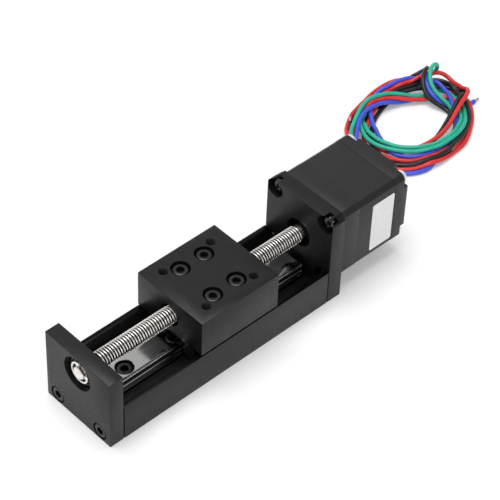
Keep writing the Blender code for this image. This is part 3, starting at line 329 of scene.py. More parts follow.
def prism(outline, front, rear, edge=0.0, segments=2, sharp=25.0):
    """Extrude an (x, z) outline from one station to another and round its outer edges."""
    bm = extruded([(x, front, z) for x, z in outline], (0, rear - front, 0))
    if edge:
        edges = [e for e in bm.edges if e.is_convex and e.calc_face_angle(0.0) > math.radians(sharp)]
        bmesh.ops.bevel(bm, geom=edges, offset=edge, segments=segments, profile=0.5, affect="EDGES",
                        clamp_overlap=True)
    return mesh_of(bm, "prism")


def rectangle(x0, x1, z0, z1, top=0.0, bottom=0.0):
    """The (x, z) outline of a rectangle, with chamfered upper or lower corners."""
    points = [(x0 + bottom, z0), (x1 - bottom, z0), (x1, z0 + bottom), (x1, z1 - top), (x1 - top, z1), (x0 + top, z1),
              (x0, z1 - top), (x0, z0 + bottom)]
    return list(dict.fromkeys(points))


def mirrored(path):
    """A closed outline from its right half."""
    return list(path) + [(-x, z) for x, z in reversed(path)]


def drill_tool(steps, direction, places, count=64, lip=0.12 * MM):
    """A drill for stepped holes, (radius, depth) from the mouth inwards, with a small chamfer at the mouth."""
    over = 0.8 * MM
    profile = [(0, over), (steps[0][0] + lip + over, over), (steps[0][0], -lip)]
    for (radius, depth), following in zip(steps, steps[1:] + [None]):
        profile.append((radius, -depth))
        if following:
            profile.append((following[0], -depth))
    profile.append((0, -steps[-1][1]))
    return [(turned(profile, count), pointing(direction, place)) for place in places]


def tapped_tool(radius, depth, pitch, direction, places):
    """A drill that leaves a hole with the ridges of a thread in it."""
    over, lip, major = 0.6 * MM, 0.3 * MM, radius + pitch * 0.4
    profile = [(0, over), (radius + lip + over, over), (radius, -lip)]
    level = lip
    while level + pitch < depth:
        profile += [(radius, -level - pitch * 0.15), (major, -level - pitch * 0.5), (radius, -level - pitch * 0.85)]
        level += pitch
    profile += [(radius, -depth), (0, -depth - radius * 0.5)]
    return [(turned(profile, 32), pointing(direction, place)) for place in places]


def joined(shapes):
    """One mesh from several (mesh, matrix) shapes."""
    bm = bmesh.new()
    for mesh, matrix in shapes:
        copy = mesh.copy()
        copy.transform(matrix)
        bm.from_mesh(copy)
        bpy.data.meshes.remove(copy)
    return mesh_of(bm, "joined")


def combined(mesh, shapes, operation="DIFFERENCE"):
    """A mesh with some closed shapes taken out of it, or added to it."""
    body, tool = placed("body", mesh), placed("tool", joined(shapes))
    modifier = body.modifiers.new("cut", "BOOLEAN")
    modifier.operation = operation
    modifier.solver = "EXACT"
    modifier.object = tool
    depsgraph = bpy.context.evaluated_depsgraph_get()
    result = bpy.data.meshes.new_from_object(body.evaluated_get(depsgraph))
    for obj in (body, tool):
        bpy.data.objects.remove(obj, do_unlink=True)
    return result


def add(name, mesh, body, material, nodes=(), sharp=32.0):
    """One finished piece that rides on a body and stands for some CAD nodes."""
    mesh.shade_smooth()
    mesh.set_sharp_from_angle(angle=math.radians(sharp))
    if mesh.materials:
        mesh.materials.clear()
    mesh.materials.append(material)
    obj = placed(name, mesh)
    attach(obj, body)
    if nodes:
        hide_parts(*nodes)
    return obj


def second_look(obj, material, chosen):
    """Another material on the faces that a test of their centre and normal picks."""
    obj.data.materials.append(material)
    for face in obj.data.polygons:
        if chosen(face.center, face.normal):
            face.material_index = 1


def add_each(name, mesh, direction, places, body, material, slot):
    """A copy of a shape for each of some numbered CAD nodes, at its place."""
    for number, place in enumerate(places, 1):
        copy = mesh.copy()
        copy.transform(pointing(direction, place))
        add(f"dressed_{name}_{number}", copy, body, material, [f"{name}_{number}"])


def grid(pitches, centre_x, centre_y):
    """The corners of a rectangle round a centre."""
    return [(centre_x + sx * pitches[0] / 2, centre_y + sy * pitches[1] / 2) for sx in (-1, 1) for sy in (-1, 1)]


# Screws

def cap_screw(length, head=2.65 * MM):
    """A socket head cap screw, its head's underside at height zero."""
    radius, shank, socket = mm(2.6, 1.5, 2.5)    # the socket across its flats
    edge, depth, under = mm(0.26, 1.9, 0.1)
    rings = [[(0, 0, -length)], rounded(shank - edge, -length), rounded(shank, edge - length), rounded(shank, 0),
             rounded(radius - under, 0), rounded(radius, under)]
    rings += [rounded(radius, head - edge * 1.6), rounded(radius - edge * 0.45, head - edge * 0.5),
              rounded(radius - edge * 1.4, head), rounded(socket * 0.72, head),
              hexagon(socket * 1.12, head - 0.02 * MM), hexagon(socket, head - 0.16 * MM),
              hexagon(socket, head - depth), [(0, 0, head - depth)]]
    return lofted(rings)


def pan_screw(length):
    """A cross-recessed pan head screw, its head's underside at height zero."""
    head, radius, shank = mm(1.5, 2.3, 1.25)
    arm, half, deep = mm(1.3, 0.3, 0.8)
    rings = [[(0, 0, -length)], cross_round(shank, -length), cross_round(shank, 0), cross_round(radius - 0.1 * MM, 0),
             cross_round(radius, 0.12 * MM)]
    for angle in (0, 15, 30, 45, 60):
        a = math.radians(angle)
        rings.append(cross_round(radius - 1.1 * MM * (1 - math.cos(a)), 0.45 * MM + (head - 0.5 * MM) * math.sin(a)))
    rings += [cross_ring(arm * 1.06, half * 1.25, head), cross_ring(arm, half, head - 0.08 * MM),
              cross_ring(arm * 0.62, half * 0.75, head - deep), [(0, 0, head - deep * 1.15)]]
    return lofted(rings)


def plate_places(station):
    return [(side * PLATE_SCREW_X, station, PLATE_SCREW_LEVEL) for side in (-1, 1)]


def motor_places(station):
    return [(x, station, z) for x, z in grid((MOTOR_PITCH, MOTOR_PITCH), 0, AXIS)]


def carriage_places(level):
    return [(x, y, level) for x, y in grid(SCREW_PITCHES, 0, CARRIAGE_MIDDLE)]


def build_screws():
    rail, carriage, plate = cap_screw(6.0 * MM), cap_screw(14.0 * MM), cap_screw(10.0 * MM, 3.1 * MM)
    mount, tie = pan_screw(7.0 * MM), pan_screw(23.0 * MM)
    black, bright = (OXIDE, "black_oxide"), "bright_steel"
    add_each("rail_screw", rail, UPWARD, [(0, y, RAIL_SEAT) for y in RAIL_HOLES], "stage", *black)
    add_each("carriage_screw", carriage, UPWARD, carriage_places(CARRIAGE_SEAT), "carriage", *black)
    add_each("end_plate_screw", plate, FRONTWARD, plate_places(STAGE_FRONT + PLATE_SEAT), "stage", *black)
    add_each("motor_plate_screw", plate, REARWARD, plate_places(PLATE_REAR - PLATE_SEAT), "stage", *black)
    # The motor's mount screws take the darkened nickel, as painted shade
    add_each("motor_mount_screw", mount, FRONTWARD, motor_places(PLATE_FRONT + MOUNT_SEAT), "stage", NICKEL_PAINTED_SHADE, bright)
    add_each("motor_tie_screw", tie, REARWARD, motor_places(MOTOR_REAR - TIE_SEAT), "stage", ZINC, bright)


# Base, plates and carriage

def build_base():
    inner, deep = HALF_WIDTH - BASE_WALL, 10.0 * MM
    path = [(HALF_WIDTH, 0), (HALF_WIDTH, BASE_HEIGHT), (inner, BASE_HEIGHT), (inner, BASE_FLOOR),
            (SLOT_HALF, BASE_FLOOR), (SLOT_HALF, SLOT_FLOOR)]
    mesh = prism(mirrored(path), BASE_FRONT, BASE_REAR, 0.15 * MM)
    tools = drill_tool([(CAP_CLEAR, SLOT_FLOOR + PAST)], UPWARD, [(0, y, SLOT_FLOOR) for y in RAIL_HOLES], FEW)
    feet = [(x, y, 0) for x, y in grid(FOOT_PITCHES, 0, 0)]
    tools += tapped_tool(1.25 * MM, BASE_FLOOR + PAST, 0.5 * MM, -UPWARD, feet)
    for direction, station in ((FRONTWARD, BASE_FRONT), (REARWARD, BASE_REAR)):
        tools += drill_tool([(CAP_CLEAR, deep)], direction, plate_places(station), FEW)
    channel = add("channel", combined(mesh, tools), "stage", CHANNEL_BLACK, ["base_channel"])
    # The tops of the channel's walls take the painted shade
    second_look(channel, WALL_TOP_PAINTED_SHADE, lambda centre, normal: normal.z > 0.9 and centre.z > BASE_HEIGHT - 0.1 * MM)


def build_end_plate():
    mesh = prism(rectangle(-HALF_WIDTH, HALF_WIDTH, 0, END_PLATE_HEIGHT), STAGE_FRONT, END_PLATE_REAR, 0.25 * MM)
    thick = END_PLATE_REAR - STAGE_FRONT
    mouth, seat, lip = mm(6.1, 0.9), (5.7 * MM, thick - 0.6 * MM), (4.55 * MM, thick + PAST)
    tools = drill_tool([mouth, seat, lip], FRONTWARD, [(0, STAGE_FRONT, AXIS)], FINE, 0.1 * MM)
    tools += drill_tool([PLATE_BORE, (CAP_CLEAR, thick + PAST)], FRONTWARD, plate_places(STAGE_FRONT), lip=CRISP)
    # The end plate takes the lighter copy of the anodising, as painted light
    add("end_plate", combined(mesh, tools), "stage", END_PAINTED_LIGHT, ["free_end_plate"])


def build_motor_plate():
    outline = rectangle(-HALF_WIDTH, HALF_WIDTH, 0, PLATE_HEIGHT, PLATE_CHAMFER)
    mesh = prism(outline, PLATE_FRONT, PLATE_REAR, 0.2 * MM)
    through = PLATE_REAR - PLATE_FRONT + PAST
    recess, bore = mm(11.3, 2.3), (5.2 * MM, through)
    tools = drill_tool([recess, bore], REARWARD, [(0, PLATE_REAR, AXIS)], FINE)
    tools += drill_tool([MOUNT_POCKET, (PAN_CLEAR, through)], FRONTWARD, motor_places(PLATE_FRONT), lip=CRISP)
    tools += drill_tool([PLATE_BORE, (CAP_CLEAR, through)], REARWARD, plate_places(PLATE_REAR), lip=CRISP)
    add("motor_mount_plate", combined(mesh, tools), "stage", BLACK, ["motor_plate"])


def rail_outline():
    """The rail's section, from its foot over a waist and a round ball track to its chamfered top."""
    half, height, edge = 4.5 * MM, RAIL_TOP - RAIL_FOOT, 0.4 * MM
    track, depth, reach, waist, in_ = mm(4.5, 0.7, 0.75, 2.6, 0.4)
    path = [(half - edge / 2, 0), (half, edge / 2), (half, waist - in_), (half - in_, waist),
            (half - in_, waist + in_), (half, waist + 2 * in_)]
    for step in range(13):
        angle = -math.pi / 2 + math.pi * step / 12
        path.append((half - depth * math.cos(angle), track + reach * math.sin(angle)))
    path += [(half, height - edge), (half - edge * 0.3, height - edge * 0.3), (half - edge, height)]
    return mirrored([(x, z + RAIL_FOOT) for x, z in path])


def build_rail():
    mesh = prism(rail_outline(), RAIL_FRONT, RAIL_REAR)
    tools = drill_tool([RAIL_BORE, (CAP_CLEAR, RAIL_TOP - RAIL_FOOT + PAST)], UPWARD,
                       [(0, y, RAIL_TOP) for y in RAIL_HOLES], lip=0.15 * MM)
    rail = add("profile_rail", combined(mesh, tools), "stage", RAIL_STEEL, ["guide_rail"])
    near = 3.1 * MM
    # The walls of the rail's screw holes take the painted shade
    second_look(rail, HOLE_PAINTED_SHADE, lambda centre, normal: abs(normal.z) < 0.5 and abs(centre.x) < near
                and min(abs(centre.y - y) for y in RAIL_HOLES) < near)


def build_carriage():
    mesh = prism(rectangle(-HALF_WIDTH, HALF_WIDTH, CARRIAGE_BOTTOM, CARRIAGE_TOP), CARRIAGE_FRONT, CARRIAGE_REAR,
                 0.25 * MM)
    down, along = mm(20.0, 40.0)
    tools = drill_tool([CARRIAGE_BORE, (CAP_CLEAR, down)], UPWARD, carriage_places(CARRIAGE_TOP))
    payload = [(x, y, CARRIAGE_TOP) for x, y in grid(PAYLOAD_PITCHES, 0, CARRIAGE_MIDDLE)]
    tools += tapped_tool(1.35 * MM, 8.0 * MM, 0.5 * MM, UPWARD, payload)
    seat, bore = (NUT_RADIUS + 0.2 * MM, NUT_LENGTH + 0.3 * MM), (4.0 * MM, along)
    tools += drill_tool([seat, bore], REARWARD, [(0, CARRIAGE_REAR, AXIS)])
    add("carriage_block", combined(mesh, tools), "carriage", BLACK, ["carriage"])


def build_nut():
    edge = 0.25 * MM
    profile = [(NUT_BORE, 0), (NUT_RADIUS - edge, 0), (NUT_RADIUS, -edge), (NUT_RADIUS, edge - NUT_LENGTH),
               (NUT_RADIUS - edge, -NUT_LENGTH), (NUT_BORE, -NUT_LENGTH)]
    mesh = turned(profile, 64)
    mesh.transform(pointing(REARWARD, (0, CARRIAGE_REAR, AXIS)))
    add("drive_nut", mesh, "carriage", BRONZE, ["lead_nut"])


# Lead screw

# The thread's profile: shares of the pitch and of the way from root to crest
THREAD_PROFILE = ((0, 0), (0.12, 0), (0.25, 0.52), (0.34, 0.85), (0.45, 0.98), (0.56, 1), (0.67, 0.98), (0.78, 0.85),
                  (0.87, 0.52))


def thread_mesh():
    """A right-hand thread about Y: one helical strip, its roots in the second material, a near-black steel that is
    painted shade between the crests.
    """
    start, end, root, pitch, steps = THREAD_FRONT, THREAD_REAR, THREAD_ROOT, THREAD_PITCH, 48
    profile = [(share, root + rise * (THREAD_CREST - root)) for share, rise in THREAD_PROFILE]
    last = len(profile) - 1
    turns = math.ceil((end - start) / pitch) + 2
    bm = bmesh.new()
    rows = []
    for n in range(steps * turns):
        angle = 2 * math.pi * n / steps
        row = []
        for share, radius in profile:
            y = start + pitch * (n / steps - 1 + share)
            place = min(max(y, start), end)
            radius = root if place != y else radius
            row.append(bm.verts.new((radius * math.sin(angle), place, AXIS + radius * math.cos(angle))))
        rows.append(row)
    for n in range(len(rows) - 1):
        for p in range(last):
            face = bm.faces.new((rows[n][p], rows[n][p + 1], rows[n + 1][p + 1], rows[n + 1][p]))
            # The roots and the flanks beside them take the painted shade
            face.material_index = 1 if p < 2 or p == last - 1 else 0
        if n + steps + 1 < len(rows):
            face = bm.faces.new((rows[n][last], rows[n + steps][0], rows[n + steps + 1][0], rows[n + 1][last]))
            face.material_index = 1
    bmesh.ops.dissolve_degenerate(bm, dist=1e-7, edges=bm.edges)
    bmesh.ops.recalc_face_normals(bm, faces=bm.faces)
    return mesh_of(bm, "thread")


def build_lead_screw():
    """The screw, its journals, the clip's groove and a centred nose."""
    edge, groove, nose, centre = mm(0.25, 2.0, 2.25, 0.4)
    core = THREAD_ROOT - 0.02 * MM
    profile = [(0, SHAFT_REAR), (JOURNAL - edge, SHAFT_REAR), (JOURNAL, SHAFT_REAR - edge), (JOURNAL, THREAD_REAR),
               (core, THREAD_REAR), (core, THREAD_FRONT), (JOURNAL, THREAD_FRONT), (JOURNAL, GROOVE_REAR),
               (groove, GROOVE_REAR), (groove, GROOVE_FRONT), (nose, GROOVE_FRONT), (nose, SHAFT_FRONT + edge),
               (nose - edge, SHAFT_FRONT), (centre, SHAFT_FRONT), (0, SHAFT_FRONT + 0.15 * MM)]
    shapes = [(turned(profile, 64), pointing(REARWARD, (0, 0, AXIS))), (thread_mesh(), Matrix.Identity(4))]
    shaft = add("threaded_shaft", joined(shapes), "screw", THREAD_STEEL, ["lead_screw"], 40.0)
    # The second material paints shade into the thread's roots
    shaft.data.materials.append(ROOT_PAINTED_SHADE)


# Bearing and clip

def build_bearing():
    low, high, edge = BEARING_FRONT, BEARING_REAR, 0.15 * MM
    rings = (("outer_race", "bearing_outer_ring", 4.55 * MM, 5.5 * MM, "stage"),
             ("inner_race", "bearing_inner_ring", 2.7 * MM, 3.4 * MM, "screw"))
    for name, node, inner, outer, body in rings:
        profile = [(inner + edge / 2, high), (outer - edge, high), (outer - edge * 0.3, high - edge * 0.3),
                   (outer, high - edge), (outer, low + edge), (outer - edge * 0.3, low + edge * 0.3),
                   (outer - edge, low), (inner + edge / 2, low), (inner, low + edge / 2), (inner, high - edge / 2)]
        mesh = turned(profile, FINE)
        mesh.transform(pointing(REARWARD, (0, 0, AXIS)))
        # The races take the dark steel of the painted shade
        add(name, mesh, body, RING_PAINTED_SHADE, [node])
    inner, outer, dish, thick = mm(3.6, 4.35, 0.12, 0.4)
    profile = [(inner, dish), (inner + 0.15 * MM, thick), (outer - 0.15 * MM, thick), (outer, dish * 2), (outer, 0),
               (inner, 0)]
    stands = (pointing(REARWARD, (0, -46.85 * MM, AXIS)) @ Matrix.Rotation(math.pi, 4, "X"),
              pointing(REARWARD, (0, -45.15 * MM, AXIS)))
    for number, stand in enumerate(stands, 1):
        mesh = turned(profile, FINE)
        mesh.transform(stand)
        # The shields take the dark steel of the painted shade
        add(f"shield_{number}", mesh, "stage", SHIELD_PAINTED_SHADE, [f"bearing_shield_{number}"])


def build_clip():
    """An open retaining clip whose three prongs reach into the shaft's groove."""
    outer, band, tip, half = mm(3.85, 0.62, 2.2, 0.25)
    mouth, prong, flank, turn = math.radians(42), math.radians(11), math.radians(7), math.radians(307)
    prongs = [math.radians(p) for p in (54, 180, 306)]
    steps = 144
    angles = [mouth + (2 * math.pi - 2 * mouth) * i / steps for i in range(steps + 1)]
    outline = [(outer * math.cos(a), outer * math.sin(a)) for a in angles]
    for a in reversed(angles):
        blend = min(1.0, max(0.0, (min(abs(a - p) for p in prongs) - prong) / flank))
        radius = tip + (outer - band - tip) * blend
        outline.append((radius * math.cos(a), radius * math.sin(a)))
    mesh = prism(outline, -half, half)
    mesh.transform(Matrix.Translation((0, CLIP_STATION, AXIS)) @ Matrix.Rotation(turn, 4, "Y"))
    add("open_clip", mesh, "screw", CLIP_STEEL, ["retaining_clip"])


# Motor

def motor_outline(inset=0.0):
    half = MOTOR_HALF - inset
    return rectangle(-half, half, AXIS - half, AXIS + half, MOTOR_CHAMFER, MOTOR_CHAMFER)


def build_motor():
    edge, pilot, height, lap, seat = mm(0.1, 11.0, 2.0, 0.5, 4.8)
    bell = prism(motor_outline(), MOTOR_FRONT, BELL_REAR, edge, 2, 20.0)
    boss = turned([(0, height), (pilot - 0.2 * MM, height), (pilot, height - 0.2 * MM), (pilot, -lap), (0, -lap)], FINE)
    bell = combined(bell, [(boss, pointing(FRONTWARD, (0, MOTOR_FRONT, AXIS)))], "UNION")
    tools = drill_tool([(PAN_CLEAR, 9 * MM)], FRONTWARD, motor_places(MOTOR_FRONT), 32)
    tools += drill_tool([(seat, 2.8 * MM), mm(2.8, 10)], FRONTWARD, [(0, MOTOR_FRONT - height, AXIS)])
    add("front_bell", combined(bell, tools), "stage", MOTOR_PAINT, ["motor_front_bell"])

    stator = prism(motor_outline(0.06 * MM), STATOR_FRONT, STATOR_REAR, edge / 2, 1, 20.0)
    through = 18 * MM
    tools = drill_tool([(PAN_CLEAR, through)], FRONTWARD, motor_places(STATOR_FRONT), 32)
    tools += drill_tool([(7.5 * MM, through)], FRONTWARD, [(0, STATOR_FRONT, AXIS)])
    add("stator_stack", combined(stator, tools), "stage", STATOR, ["motor_stator"])

    rear = prism(motor_outline(), REAR_BELL_FRONT, MOTOR_REAR, edge, 2, 20.0)
    rear = combined(rear, rear_pockets())
    tools = drill_tool([(PAN_CLEAR, 7 * MM)], REARWARD, motor_places(MOTOR_REAR), 32)
    tools += drill_tool([mm(5.0, 0.6)], REARWARD, [(0, MOTOR_REAR, AXIS)], FINE)
    tools += drill_tool([(seat, 3.1 * MM)], FRONTWARD, [(0, REAR_BELL_FRONT, AXIS)])
    slot = prism(rectangle(-15.0 * MM, -12.7 * MM, 16.1 * MM, 25.9 * MM), 74.6 * MM, 78.8 * MM)
    tools.append((slot, Matrix.Identity(4)))
    add("rear_bell", combined(rear, tools), "stage", MOTOR_PAINT, ["motor_rear_bell"])


def rear_pockets():
    """Square corner pockets with a rounded inner corner, open to the motor's edges."""
    side, reach, depth = mm(5.4, 2, 1.8)
    inner, outer, radius = MOTOR_HALF - side, MOTOR_HALF + reach, side * 0.55
    outline = [(outer, inner), (outer, outer), (inner, outer)]
    for step in range(13):
        angle = math.pi + math.pi / 2 * step / 12
        outline.append((inner + radius + radius * math.cos(angle), inner + radius + radius * math.sin(angle)))
    pocket = prism(outline, MOTOR_REAR - depth, MOTOR_REAR + reach)
    lift = Matrix.Translation((0, 0, AXIS))
    return [(pocket, lift @ Matrix.Rotation(math.pi / 2 * i, 4, "Y")) for i in range(4)]


def build_label():
    """The bare white label on the motor's right side."""
    y0, y1, z0, z1, radius = mm(63.2, 73.2, 10.15, 30.3, 0.7)
    back, thick = mm(13.93, 0.07)
    outline = []
    for cy, cz, start in ((y1 - radius, z1 - radius, 0), (y0 + radius, z1 - radius, 90),
                          (y0 + radius, z0 + radius, 180), (y1 - radius, z0 + radius, 270)):
        for step in range(7):
            a = math.radians(start + 15 * step)
            outline.append((back, cy + radius * math.cos(a), cz + radius * math.sin(a)))
    add("bare_label", mesh_of(extruded(outline, (thick, 0, 0)), "label"), "stage", LABEL)


def dress_nodes():
    """Better materials for the CAD nodes that keep their own shape."""
    # The motor's bearings share the races' darkened steel, painted shade
    looks = {"rail_block": BLOCK_STEEL, "rail_block_front_cap": CAP_PLASTIC, "rail_block_rear_cap": CAP_PLASTIC,
             "motor_front_bearing": RING_PAINTED_SHADE, "motor_rear_bearing": RING_PAINTED_SHADE, "motor_rotor": ROTOR,
             "lead_grommet": GROMMET}
    # The block's end-cap screws take the same darkened nickel, as painted shade
    looks.update({f"rail_block_{end}_cap_screw_{number}": NICKEL_PAINTED_SHADE for end in ("front", "rear") for number in (1, 2)})
    for name, material in looks.items():
        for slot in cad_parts[name].material_slots:
            slot.material = material


# Leads

LEAD_RADIUS = 0.8 * MM
LEAD_PITCH = 2.1    # between two leads in the grommet, in millimetres
COIL_CENTRE = Vector((-26.9 * MM, MOTOR_REAR + 47.7 * MM, 0))
COIL_TILT = math.radians(97.0)
COIL_INNER, COIL_ACROSS = (16.3, 13.2), (11.2, 5.5)  # the winding's inner half axes and its breadth, in mm


def coil_point(angle, across, level):
    """A point of the coil from its angle in degrees, its share of the way across the winding and its level in mm."""
    a = math.radians(angle)
    long, short = (inner + breadth * across for inner, breadth in zip(COIL_INNER, COIL_ACROSS))
    x, y = long * math.cos(a), short * math.sin(a)
    c, s = math.cos(COIL_TILT), math.sin(COIL_TILT)
    return COIL_CENTRE + Vector((c * x - s * y, s * x + c * y, level)) * MM


def smooth_value(values, t):
    """A cubic through four neighbouring values, from the second to the third as t goes from 0 to 1."""
    a, b, c, d = values
    return b + 0.5 * t * (c - a + t * (2 * a - 5 * b + 4 * c - d + t * (3 * (b - c) + d - a)))


def coil_points(controls, step=6.0):
    """Points on a smooth line through the controls, in angle, share and level."""
    points = []
    last = len(controls) - 1
    for i in range(last):
        near = [controls[max(0, i - 1)], controls[i], controls[i + 1], controls[min(last, i + 2)]]
        count = max(2, math.ceil(abs(near[2][0] - near[1][0]) / step))
        for k in range(count):
            points.append(coil_point(*(smooth_value(axis, k / count) for axis in zip(*near))))
    points.append(coil_point(*controls[-1]))
    return points


def exit_points(index):
    """A lead's way from the grommet, on the motor's left side, down to the coil."""
    side = index - 1.5
    x, y, z = -15.2, 76.7, 21.0 + LEAD_PITCH * side
    spread = 2.4 * side
    points = [(x, y, z), (x - 1.5, y + 0.05, z), (x - 3.0, y + 0.2, z - 0.1),
              (x - 5.0 - 0.3 * spread, y + 3.6, z * 0.85), (x - 8.0 - 0.7 * spread, y + 10.0, z * 0.5)]
    return [Vector(p) * MM for p in points]


def even_points(points, spacing):
    """Points at an even spacing along straight lines between some points."""
    length = sum((b - a).length for a, b in zip(points, points[1:]))
    count = max(2, round(length / spacing))
    result, travelled, target = [points[0].copy()], 0.0, 1
    for a, b in zip(points, points[1:]):
        piece = (b - a).length
        while target < count and travelled + piece >= length * target / count:
            result.append(a.lerp(b, (length * target / count - travelled) / piece))
            target += 1
        travelled += piece
    result.append(points[-1].copy())
    return result


def relaxed(points, rounds):
    """The same points with their kinks smoothed out, the ends held."""
    for _ in range(rounds):
        inner = [(a + 2 * b + c) / 4 for a, b, c in zip(points, points[1:], points[2:])]
        points = [points[0]] + inner + [points[-1]]
    return points


def bend(a, b, c):
    """The radius of the circle through three points."""
    area = (b - a).cross(c - a).length
    return (b - a).length * (c - b).length * (c - a).length / (2 * area) if area > 1e-12 else 1.0


def settled(paths, rounds=80):
    """Leads pushed a diameter apart, with their tight bends eased, that have come down to the floor."""
    apart, low, tight = 2.04 * LEAD_RADIUS, LEAD_RADIUS + 0.05 * MM, 4.8 * MM
    held, near = 3, 9    # points held at the grommet, and neighbours along a lead that don't push
    push_share, ease, tight_ease, fall = 0.22, 0.12, 0.6, 0.004 * MM
    for _ in range(rounds):
        tree = KDTree(sum(len(path) for path in paths))
        owner = []
        for lead, path in enumerate(paths):
            for i, p in enumerate(path):
                tree.insert(p, len(owner))
                owner.append((lead, i))
        tree.balance()
        moved = []
        for lead, path in enumerate(paths):
            row = [p.copy() for p in path]
            for i in range(held, len(path)):
                p = path[i]
                push = Vector()
                for co, index, distance in tree.find_range(p, apart):
                    other, j = owner[index]
                    if (other == lead and abs(i - j) < near) or distance < 1e-7:
                        continue
                    push += (p - co) * (push_share * (apart - distance) / distance)
                row[i] = p + push
            for i in range(held, len(path) - 1):
                a, b, c = row[i - 1], row[i], row[i + 1]
                reach = min(2, i, len(path) - 1 - i)
                sharp = bend(path[i - reach], path[i], path[i + reach]) < tight
                row[i] = b.lerp((a + c) / 2, tight_ease if sharp else ease)
            for p in row[held:]:
                p.z = max(p.z - fall, low)
            moved.append(row)
        paths = moved
    return paths


# Controls round the coil: (angle in degrees, share of the way across the winding, level in mm)
BLUE_ROUTE = [
    (165, .95, 4), (150, .75, 5), (135, .6, 5.4), (120, .55, 5.4), (110, .45, 5.2), (100, .3, 4.9), (87, 0, 4.2),
    (76, -.25, 3.4), (66, -.35, 2.4), (56, -.3, 1.6), (44, -.15, 1), (30, .05, .9), (10, .2, .9), (-10, .3, .9),
    (-30, .4, .9), (-50, .5, 1.2), (-65, .65, 1.6), (-80, .8, 2), (-95, .85, 2.2), (-105, .75, 2.4), (-115, .65, 2.4),
    (-125, .6, 2.4), (-135, .45, 2.4), (-145, .35, 2.4), (-160, .3, 2.4), (-170, .2, 2.4), (-180, 0, 2.4),
    (-190, -.15, 2.5), (-205, -.15, 2.5), (-220, -.05, 2.5), (-235, .1, 2.5), (-245, .3, 2.5), (-255, .5, 2.6),
    (-270, .7, 3), (-285, .85, 3.4), (-300, .95, 3.6), (-320, .9, 3.6), (-335, .8, 3.6), (-350, .55, 3.6),
    (-365, .35, 3.6), (-385, .2, 3), (-405, .25, 2), (-430, .5, 1.2), (-450, .75, .9), (-468, 1.05, .9),
    (-477, 1.25, .9), (-486, 1.35, .9), (-496, 1.3, .9), (-508, 1.1, .9), (-525, .95, .9), (-545, .85, .9),
    (-570, .75, .9), (-600, .7, .9), (-630, .8, .9), (-655, .95, .9), (-673, 1.1, .9), (-684, 1.25, 1.5),
    (-689, 1.38, 3.2), (-689, 1.38, 5.2), (-687, 1.15, 6.7), (-686, .75, 7.2), (-688, .4, 6.7), (-696, .12, 5.5),
    (-710, -.08, 4.2), (-724, -.05, 3), (-736, .06, 1.9), (-744, .28, 1.1), (-749, .55, .9), (-750, .85, .9),
    (-748, 1.15, 1.2)]
GREEN_ROUTE = [
    (155, 1, 4.2), (140, .9, 4.8), (122, .75, 5.2), (105, .7, 5.4), (92, .6, 5.4), (80, .4, 5.2), (70, .15, 4.8),
    (58, -.05, 4.2), (46, -.15, 3.2), (34, -.1, 2.2), (15, .1, 1.2), (0, .2, .9), (-15, .3, 1.2), (-30, .4, 1.8),
    (-45, .5, 2.6), (-60, .55, 3.4), (-76, .55, 3.8), (-90, .45, 4), (-103, .3, 4), (-120, .15, 4), (-137, .05, 4),
    (-155, .05, 4), (-182, .05, 4), (-200, .15, 4), (-213, .25, 3.8), (-227, .35, 3.4), (-240, .5, 2.6),
    (-255, .65, 1.6), (-280, .75, .9), (-310, .75, .9), (-335, .7, .9), (-360, .65, .9), (-385, .6, 1.4),
    (-400, .65, 2.2), (-413, .65, 2.7), (-425, .7, 3.2), (-440, .7, 3.8), (-450, .65, 4), (-462, .6, 4), (-472, .5, 4),
    (-484, .4, 4), (-495, .3, 4), (-512, .25, 4), (-526, .2, 4), (-539, .3, 4), (-555, .35, 4), (-568, .45, 4),
    (-581, .45, 3.8), (-596, .5, 3.2), (-614, .6, 2), (-632, .75, 1.2), (-652, .9, .9), (-672, 1.05, .9),
    (-688, 1.2, 1.2), (-698, 1.35, 2.4), (-700, 1.45, 4.4), (-698, 1.5, 6.8), (-695, 1.5, 9.2), (-691, 1.25, 10.4),
    (-690, .85, 10), (-692, .5, 8.4), (-698, .2, 6.4), (-709, 0, 4.8), (-720, -.05, 3.6), (-733, .05, 2.6),
    (-745, .15, 1.6), (-758, .3, .9), (-775, .5, .9), (-795, .65, .9), (-820, .75, .9), (-840, .7, .9)]
